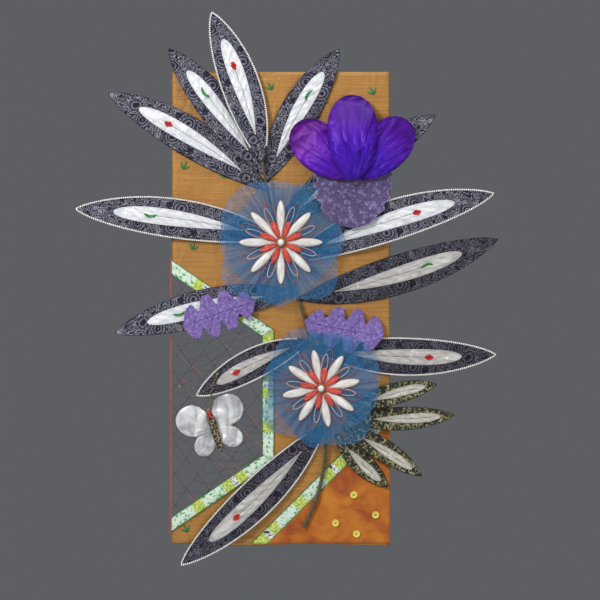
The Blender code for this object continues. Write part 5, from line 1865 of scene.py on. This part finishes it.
@dataclass
class Star:
    """A star of eight padded white points and eight coral ones round a large pearl."""

    name: str
    x: float
    z: float
    long_point: float
    short_point: float
    turn: float

    def build(self, pile: Pile, bead: Shape) -> None:
        """Lays the loops, the points and the pearl."""
        self._lay_loops(pile)
        self._lay_points(pile, "white", STAR_SATIN, 0.010, self.long_point, 0.0185, 0.0052, 0.0)
        self._lay_points(pile, "coral", CORAL_COTTON, 0.004, self.short_point, 0.0125, 0.0042, 22.5)
        self._set_pearl(pile, bead)

    def _lay_points(self, pile: Pile, kind: str, finish: Finish, hub: float, reach: float, width: float,
                    crown: float, shift: float) -> None:
        """One ring of padded points, in one mesh."""
        steps = np.linspace(0, 1, 26)
        sides = np.concatenate([[-1.0, -0.95], np.linspace(-0.85, 0.85, 9), [0.95, 1.0]])
        pace, side = np.meshgrid(steps, sides, indexing="ij")
        parts = []
        for number in range(8):
            heading = 45 * number + self.turn + shift
            across, up = turned(heading)
            blade = Blade(self.x + hub * across, self.z + hub * up, heading, reach - hub, width,
                          0.0, 0.80, 0.56, 0.42)
            x, z = blade.place(pace, side)
            level = pile.foremost(x, z, 0.004)
            back = level.copy()
            for _ in range(20):
                back = np.minimum(smoothed(back), level)
            back = back - 0.0003
            swell = np.sin(np.pi * (0.14 + 0.72 * pace))
            half = blade.half_width(pace)
            crest = crown * swell * np.sqrt(np.clip(1 - 0.97 * side**2, 0, 1))
            front = back - 0.0008 - crest + 0.0007 * swell * np.exp(-((side / 0.10) ** 2))
            name = f"{kind}_point_{self.name}_{number}"
            parts.append(closed_sheet(name, x, z, back, front, side * half + 0.05 * number, pace * reach,
                                      (1 - np.abs(side)) * half))
        obj = joined(f"star_points_{kind}_{self.name}", parts)
        mount_piece(obj, finish.material(), f"star_{kind}", f"star_{kind}_{self.name}")
        pile.stamp(obj)

    def _lay_loops(self, pile: Pile) -> None:
        """Long loops of coral and white cord that stand between the points."""
        for finish, reach, width, name in ((CORAL_THREAD, 1.02, 0.0120, "coral"), (WHITE_THREAD, 0.88, 0.0085, "white")):
            bundle = Bundle()
            for number in range(8):
                heading = 45 * number + self.turn + 22.5 + (3 if name == "white" else -2)
                across, up = turned(heading)
                share = np.linspace(0.0, 1.0, 60)
                turn = 2 * np.pi * share
                forward = 0.012 + (self.long_point * reach - 0.012) * (0.5 - 0.5 * np.cos(turn))
                aside = width * np.sin(turn) * (0.35 + 0.65 * (0.5 - 0.5 * np.cos(turn)))
                x = self.x + forward * across - aside * up
                z = self.z + forward * up + aside * across
                depth = pile.foremost(x, z, 0.002) - 0.0008 - 0.0012 * np.sin(turn / 2)
                for _ in range(6):
                    depth = np.convolve(np.pad(depth, 1, "edge"), (0.25, 0.5, 0.25), "valid")
                bundle.tube(np.stack([x, depth, z], axis=1), 0.00055, 6)
            obj = bundle.build(f"star_loops_{name}_{self.name}")
            mount_piece(obj, finish.material(), "star_coral" if name == "coral" else "star_white")

    def _set_pearl(self, pile: Pile, bead: Shape) -> None:
        """A large pearl in a dark ring of small beads."""
        level = float(pile.foremost(np.array([self.x]), np.array([self.z]), 0.008)[0])
        pearl = pearl_shape()
        obj = new_object(f"star_pearl_{self.name}", *pearl.at((self.x, level - 0.0042, self.z), (0.0068, 0.0052, 0.0068)))
        mount_piece(obj, PEARL.material(), "star_white")
        bundle = Bundle()
        for number in range(16):
            across, up = turned(22.5 * number)
            bundle.add(*bead.at((self.x + 0.0086 * across, level - 0.0014, self.z + 0.0086 * up), 0.0016))
        mount_piece(bundle.build(f"star_ring_{self.name}"), GOLD_BEAD.material(), "star_coral")


def pearl_shape() -> Shape:
    """A smooth ball of unit radius."""
    deselect()
    bpy.ops.mesh.primitive_uv_sphere_add(segments=24, ring_count=14, radius=1.0)
    pearl = bpy.context.object
    bpy.ops.object.mode_set(mode="EDIT")
    bpy.ops.mesh.select_all(action="SELECT")
    bpy.ops.mesh.normals_make_consistent(inside=False)
    bpy.ops.object.mode_set(mode="OBJECT")
    return Shape.taken_from(pearl)


def joined(name: str, parts: list[bpy.types.Object]) -> bpy.types.Object:
    """Joins separate bodies into one object."""
    deselect()
    for part in parts:
        part.select_set(True)
    bpy.context.view_layer.objects.active = parts[0]
    bpy.ops.object.join()
    parts[0].name = name
    parts[0].data.name = name
    deselect()
    return parts[0]


@dataclass
class OakLeaves:
    """Two lobed leaves of dyed cloth with stitched veins."""

    rows: tuple[tuple[str, float, float, float, float, float], ...] = (
        ("oak_leaf_right", 0.052, -0.548, -14, 0.176, 0.100),
        ("oak_leaf_left", -0.055, -0.505, 196, 0.168, 0.096),
    )

    def build(self, pile: Pile) -> None:
        """Lays both leaves."""
        for node, x, z, angle, length, width in self.rows:
            self._lay(pile, node, Blade(x, z, angle, length, width, 0.06, 0.55, 0.42, 0.10, 4, 0.56, 2.6))

    def _lay(self, pile: Pile, node: str, blade: Blade) -> None:
        """One leaf and its veins."""
        shares = np.concatenate([np.linspace(0, 0.94, 96), 1 - 0.06 * (1 - np.linspace(0, 1, 13)[1:]) ** 2])
        sides = hem_sides(blade.width / 2, 13)
        share, side = np.meshgrid(shares, sides, indexing="ij")
        x, z = blade.place(share, side)
        hang = Solid(node).back(x, z)
        for _ in range(10):
            hang = smoothed(hang)
        along = share * blade.length
        hang = hang - 0.0012 * np.sin(along * 2 * np.pi / 0.044) * np.abs(side) ** 2
        back = pile.drape(x, z, hang, reach=0.003, rounds=4)
        half = blade.half_width(share)
        edge = np.minimum((1 - np.abs(side)) * half, np.minimum(share, 1 - share) * blade.length)
        front = back - thinned(edge, 0.0018)
        obj = closed_sheet(node.replace("leaf", "cloth"), x, z, back, front, side * half, along, edge)
        mount_piece(obj, LAVENDER_BATIK.material(), "lavender_batik", node)
        surface = Surface(shares, sides, np.stack([x, front, z], axis=-1))
        bundle = Bundle()
        rib = np.linspace(0.03, 0.93, 50)
        self._vein(bundle, surface, rib, np.zeros(50), 0.0006)
        for number in range(4):
            foot = 0.08 + 0.25 * number
            for way in (-1, 1):
                reach = np.linspace(0, 1, 16)
                self._vein(bundle, surface, foot + 0.11 * reach, way * 0.72 * reach, 0.00045)
        mount_piece(bundle.build(node.replace("leaf", "veins")), VIOLET_THREAD.material(), "lavender_batik")
        pile.stamp(obj)

    def _vein(self, bundle: Bundle, surface: Surface, share: Array, side: Array, radius: float) -> None:
        """Adds one stitched line."""
        bundle.tube(surface.at(share, side), radius, 5)


@dataclass
class Bloom:
    """The gathered satin bloom and the scalloped lace beneath it."""

    petals: tuple[tuple[str, float, float, float, float, float, float], ...] = (
        ("tulip_right", 0.168, -0.232, 47, 0.165, 0.104, 0.010),
        ("tulip_left", 0.150, -0.232, 136, 0.165, 0.104, 0.010),
        ("tulip_centre", 0.159, -0.240, 91, 0.188, 0.112, 0.017),
    )

    def build(self, pile: Pile) -> None:
        """Lays the lace, then the petals."""
        self._lay_lace(pile)
        for row in self.petals:
            self._lay_petal(pile, *row)

    def _lay_lace(self, pile: Pile) -> None:
        """Stiff lace with a scalloped edge and soft flutes."""
        blade = Blade(0.158, -0.160, -90, 0.184, 0.176, 0.0, 0.42, 0.50, 0.5, 7, 0.10)
        shares = np.linspace(0, 1, 80)
        sides = hem_sides(blade.width / 2, 31)
        share, side = np.meshgrid(shares, sides, indexing="ij")
        x, z = blade.place(share, side)
        hang = Solid("tulip_lace").back(x, z)
        for _ in range(10):
            hang = smoothed(hang)
        hang = hang - 0.0022 * np.sin(side * 11 + 2 * share) * step(0.25, 1.0, share)
        back = pile.drape(x, z, hang, reach=0.004, rounds=5)
        half = blade.half_width(share)
        edge = np.minimum((1 - np.abs(side)) * half, np.minimum(share, 1 - share) * blade.length)
        front = back - thinned(edge, 0.0016)
        obj = closed_sheet("lace_sepals", x, z, back, front, side * half, share * blade.length, edge)
        mount_piece(obj, LAVENDER_LACE.material(), "lavender_lace", "tulip_lace")
        pile.stamp(obj)

    def _lay_petal(self, pile: Pile, node: str, x0: float, z0: float, angle: float, length: float, width: float,
                   crown: float) -> None:
        """One padded petal, gathered at its foot."""
        blade = Blade(x0, z0, angle, length, width, 0.0, 0.62, 0.46, 0.30)
        shares = np.concatenate([[0.0, 0.006], np.linspace(0.02, 0.98, 62), [0.994, 1.0]])
        sides = np.concatenate([[-1.0, -0.985], np.linspace(-0.96, 0.96, 45), [0.985, 1.0]])
        share, side = np.meshgrid(shares, sides, indexing="ij")
        x, z = blade.place(share, side)
        hang = Solid(node).back(x, z)
        for _ in range(10):
            hang = smoothed(hang)
        back = pile.drape(x, z, hang, reach=0.004, rounds=6)
        swell = np.sin(np.pi * (0.08 + 0.84 * share))
        phase = sum(map(ord, node))
        warp = side + 0.10 * np.sin(share * 7 + phase)
        folds = np.abs(np.sin(warp * 9.5 + phase)) ** 0.7
        fine = np.sin(warp * 31 + 3 * share + phase)
        gather = (0.0046 * (1 - step(0.20, 0.80, share)) + 0.0004) * folds
        gather += 0.0006 * fine * (1 - step(0.1, 0.6, share))
        cross = 0.0007 * np.sin(share * 13 + 1.2 * side + phase) * step(0.3, 0.7, share)
        dome = np.sqrt(np.clip(1 - 0.97 * side**2, 0, 1))
        front = back - 0.0012 - crown * swell * dome - (gather + cross) * dome * swell
        face = settled(np.stack([x, front, z], axis=-1), sewn_rim(x.shape), 0.07, 2.0, 0.0045)
        face[..., 1] = np.minimum(face[..., 1], back - 0.0010)
        half = blade.half_width(share)
        edge = np.minimum((1 - np.abs(side)) * half, np.minimum(share, 1 - share) * length)
        obj = closed_sheet(node.replace("tulip", "satin_petal"), x, z, back, face, side * half, share * length, edge)
        finish = MAGENTA_SATIN if node == "tulip_left" else PURPLE_SATIN
        mount_piece(obj, finish.material(), "purple_satin", node)
        pile.stamp(obj)


@dataclass
class Butterfly:
    """A satin butterfly in the window, with a brocade body and corded feelers."""

    x: float = -0.146
    z: float = -0.785
    turn: float = 18.0

    def _radius(self, angle: Array) -> Array:
        """The wings' outline, in degrees from X, before the turn."""
        folded = np.abs((angle - 90 + 180) % 360 - 180)
        upper = 0.090 * np.maximum(0.0, np.cos(np.radians((folded - 52) * 1.75))) ** 0.55
        lower = 0.068 * np.maximum(0.0, np.cos(np.radians((folded - 132) * 2.0))) ** 0.55
        both = np.maximum(np.where(folded < 104, upper, 0.0), np.where(folded > 86, lower, 0.0))
        return np.maximum(both, 0.016)

    def build(self, pile: Pile, bead: Shape) -> None:
        """Lays the wings, the body and the feelers."""
        self._lay_wings(pile)
        body = self._lay_body(pile)
        self._set_beads(body, bead)
        self._lay_feelers(body, bead)

    def _lay_wings(self, pile: Pile) -> None:
        """Both pairs of wings in one sheet, creased outwards from the body."""
        spokes = 240
        shares = np.concatenate([np.linspace(0.06, 0.965, 18), [0.99, 1.0]])
        share, number = np.meshgrid(shares, np.arange(spokes), indexing="ij")
        angle = 360 * number / spokes
        reach = self._radius(angle - self.turn) * share
        x = self.x + reach * np.cos(np.radians(angle))
        z = self.z + reach * np.sin(np.radians(angle))
        hang = Solid("butterfly_wings").back(x, z)
        for _ in range(4):
            hang = smoothed(hang, ring=True)
        hang = np.minimum(hang, -0.0110)
        back = pile.drape(x, z, hang, reach=0.003, rounds=4, ring=True)
        a = np.radians(angle - self.turn)
        crease = np.abs(np.sin(9 * a + 0.8 * np.sin(4 * a) + 1.4 * share)) ** 1.5
        back = back - 0.0030 * crease * share * np.minimum(1.0, reach / 0.03)
        edge = (1 - share) * self._radius(angle - self.turn)
        front = back - thinned(edge, 0.0022) - 0.0030 * np.sin(np.pi * share) * np.minimum(1.0, reach / 0.04)
        held = np.zeros(x.shape, bool)
        held[:2] = held[-2:] = True
        face = settled(np.stack([x, front, z], axis=-1), held, 0.10, 1.2, 0.0040, ring=True)
        face[..., 1] = np.minimum(face[..., 1], back - 0.0008)
        obj = closed_sheet("satin_wings", x, z, back, face, x - self.x, z - self.z, edge, ring=True)
        mount_piece(obj, SILVER_SATIN.material(), "silver_satin", "butterfly_wings")
        pile.stamp(obj)
        bundle = Bundle()
        ring = np.append(np.arange(spokes), 0)
        outline = np.stack([x[-2][ring], front[-2][ring] - 0.0002, z[-2][ring]], axis=1)
        bundle.tube(outline, 0.0007, 6)
        mount_piece(bundle.build("wing_piping"), BLACK_THREAD.material(), "silver_satin")

    def _lay_body(self, pile: Pile) -> Surface:
        """The padded brocade body."""
        along = turned(90 + self.turn)
        blade = Blade(self.x - 0.052 * along[0], self.z - 0.052 * along[1], 90 + self.turn, 0.100, 0.019, 0.0,
                      0.5, 0.5, 0.2)
        shares = np.linspace(0, 1, 60)
        sides = np.concatenate([[-1.0, -0.96], np.linspace(-0.88, 0.88, 13), [0.96, 1.0]])
        share, side = np.meshgrid(shares, sides, indexing="ij")
        x, z = blade.place(share, side)
        back = np.full_like(x, pile.foremost(x, z, 0.003).min() - 0.0003)
        rings = 1 - 0.16 * np.abs(np.sin(share * np.pi * 9)) ** 4 * (share < 0.7)
        swell = np.sin(np.pi * (0.10 + 0.80 * share)) * rings * (1 - 0.25 * np.exp(-(((share - 0.72) / 0.03) ** 2)))
        front = back - 0.0010 - 0.0080 * swell * np.sqrt(np.clip(1 - 0.97 * side**2, 0, 1))
        half = blade.half_width(share)
        obj = closed_sheet("brocade_body", x, z, back, front, side * half, share * 0.1, (1 - np.abs(side)) * half)
        mount_piece(obj, GOLD_BROCADE.material(), "gold_brocade", "butterfly_body")
        pile.stamp(obj)
        return Surface(shares, sides, np.stack([x, front, z], axis=-1))

    def _set_beads(self, body: Surface, bead: Shape) -> None:
        """A cap of red beads on the head."""
        bundle = Bundle()
        for row in range(4):
            share = 0.80 + 0.045 * row
            for number in range(-2, 3):
                place = body.at(share, 0.34 * number * (1 - 0.10 * row))
                bundle.add(*bead.at(place - (0, 0.0006, 0), 0.0015))
        mount_piece(bundle.build("head_beads"), RED_BEAD.material(), "gold_brocade")

    def _lay_feelers(self, body: Surface, bead: Shape) -> None:
        """Two thin feelers of black and gold cord with beaded ends."""
        along, across = turned(90 + self.turn), turned(self.turn)
        head_x, start, head_z = body.at(0.93, 0.0) + (0, 0.003, 0)
        dark, tips = Bundle(), Bundle()
        for way in (-1, 1):
            share = np.linspace(0, 1, 60)
            forward = -0.006 + 0.078 * share
            aside = way * (0.004 + 0.040 * share**1.6)
            x = head_x + forward * along[0] + aside * across[0]
            z = head_z + forward * along[1] + aside * across[1]
            depth = start - 0.004 * share
            route = np.stack([x, depth, z], axis=1)
            for ply in (0, 1):
                turn = share * 2 * np.pi * 14 + ply * np.pi
                twist = route + 0.0006 * np.stack([np.cos(turn) * across[0], np.sin(turn), np.cos(turn) * across[1]], 1)
                (dark if ply == 0 else tips).tube(twist, 0.0007, 5)
            tips.add(*bead.at(route[-1], 0.0024))
        mount_piece(dark.build("feeler_cords"), BLACK_THREAD.material(), "gold_brocade")
        mount_piece(tips.build("feeler_gold"), GOLD_BEAD.material(), "gold_brocade")


@dataclass
class Studio:
    """The floor, the soft lights and the camera."""

    middle: tuple[float, float, float] = (0.042, 0.0, -0.502)
    span: float = 1.32
    distance: float = 6.0
    floor_level: float = -1.75

    def build(self) -> None:
        """Sets up everything round the hanging."""
        self._lay_floor()
        self._light("key", (-1.7, -2.3, 1.1), 1.0, 74.0)
        self._light("fill", (2.1, -2.2, -0.3), 1.6, 20.0)
        self._light("top", (0.3, -0.7, 1.9), 1.2, 24.0)
        self._light("low", (0.1, -2.4, -1.6), 1.6, 7.0)
        self._light("behind", (0.5, 2.8, 0.4), 1.8, 34.0)
        self._fill_world()
        self._place_camera()

    def _lay_floor(self) -> None:
        """A plain pale floor."""
        deselect()
        bpy.ops.mesh.primitive_plane_add(size=5.0, location=(0, 0, self.floor_level))
        floor = bpy.context.object
        floor.name = "floor"
        recipe = Recipe("pale_floor", 0.8)
        grain = recipe.add("ShaderNodeTexNoise", {"Vector": recipe.place(), "Scale": 30.0})
        recipe.feed(Base_Color=recipe.mix(grain.outputs["Fac"], (0.62, 0.62, 0.61), (0.66, 0.66, 0.65)))
        floor.data.materials.append(recipe.material)

    def _light(self, name: str, place: tuple[float, float, float], size: float, power: float) -> None:
        """One soft light, aimed at the hanging."""
        data = bpy.data.lights.new(name, "AREA")
        data.shape, data.size, data.energy = "DISK", size, power
        light = bpy.data.objects.new(name, data)
        light.location = place
        light.rotation_euler = (Vector(self.middle) - Vector(place)).to_track_quat("-Z", "Y").to_euler()
        bpy.context.scene.collection.objects.link(light)

    def _fill_world(self) -> None:
        """An even grey surround."""
        world = bpy.data.worlds.new("surround")
        world.use_nodes = True
        world.node_tree.nodes["Background"].inputs["Color"].default_value = (0.110, 0.115, 0.125, 1)
        world.node_tree.nodes["Background"].inputs["Strength"].default_value = 1.0
        bpy.context.scene.world = world
        bpy.context.scene.view_settings.view_transform = "Standard"

    def _place_camera(self) -> None:
        """A level camera, square on to the hanging."""
        data = bpy.data.cameras.new("camera")
        data.sensor_width = 36.0
        data.lens = data.sensor_width * self.distance / self.span
        camera = bpy.data.objects.new("camera", data)
        camera.location = (self.middle[0], -self.distance, self.middle[2])
        camera.rotation_euler = (math.pi / 2, 0, 0)
        bpy.context.scene.collection.objects.link(camera)
        bpy.context.scene.camera = camera


def main() -> None:
    """Builds the studio, then lays the hanging from the ground cloth forwards."""
    logging.basicConfig(level=logging.INFO, format="%(name)s %(message)s")
    Studio().build()
    pile = Pile(*CAD_BOX)
    bead = bead_shape()
    Ground().build(pile)
    NetWindow().build(pile)
    Borders().build(pile)
    Corner().build(pile)
    Branch().build(pile, bead)
    Sprig().build(pile, bead)
    OakLeaves().build(pile)
    stars = (("upper", 0.790, 0.092, 0.050, 0.0, 0.138), ("lower", 0.400, 0.086, 0.047, 11.0, 0.128))
    for name, along, _, _, turn, size in stars:
        Veil(name, *branch_point(along), size, turn).build(pile)
    for name, along, long_point, short_point, turn, _ in stars:
        Star(name, *branch_point(along), long_point, short_point, turn).build(pile, bead)
    Bloom().build(pile)
    Butterfly().build(pile, bead)
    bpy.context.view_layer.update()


if __name__ == "__main__":
    main()
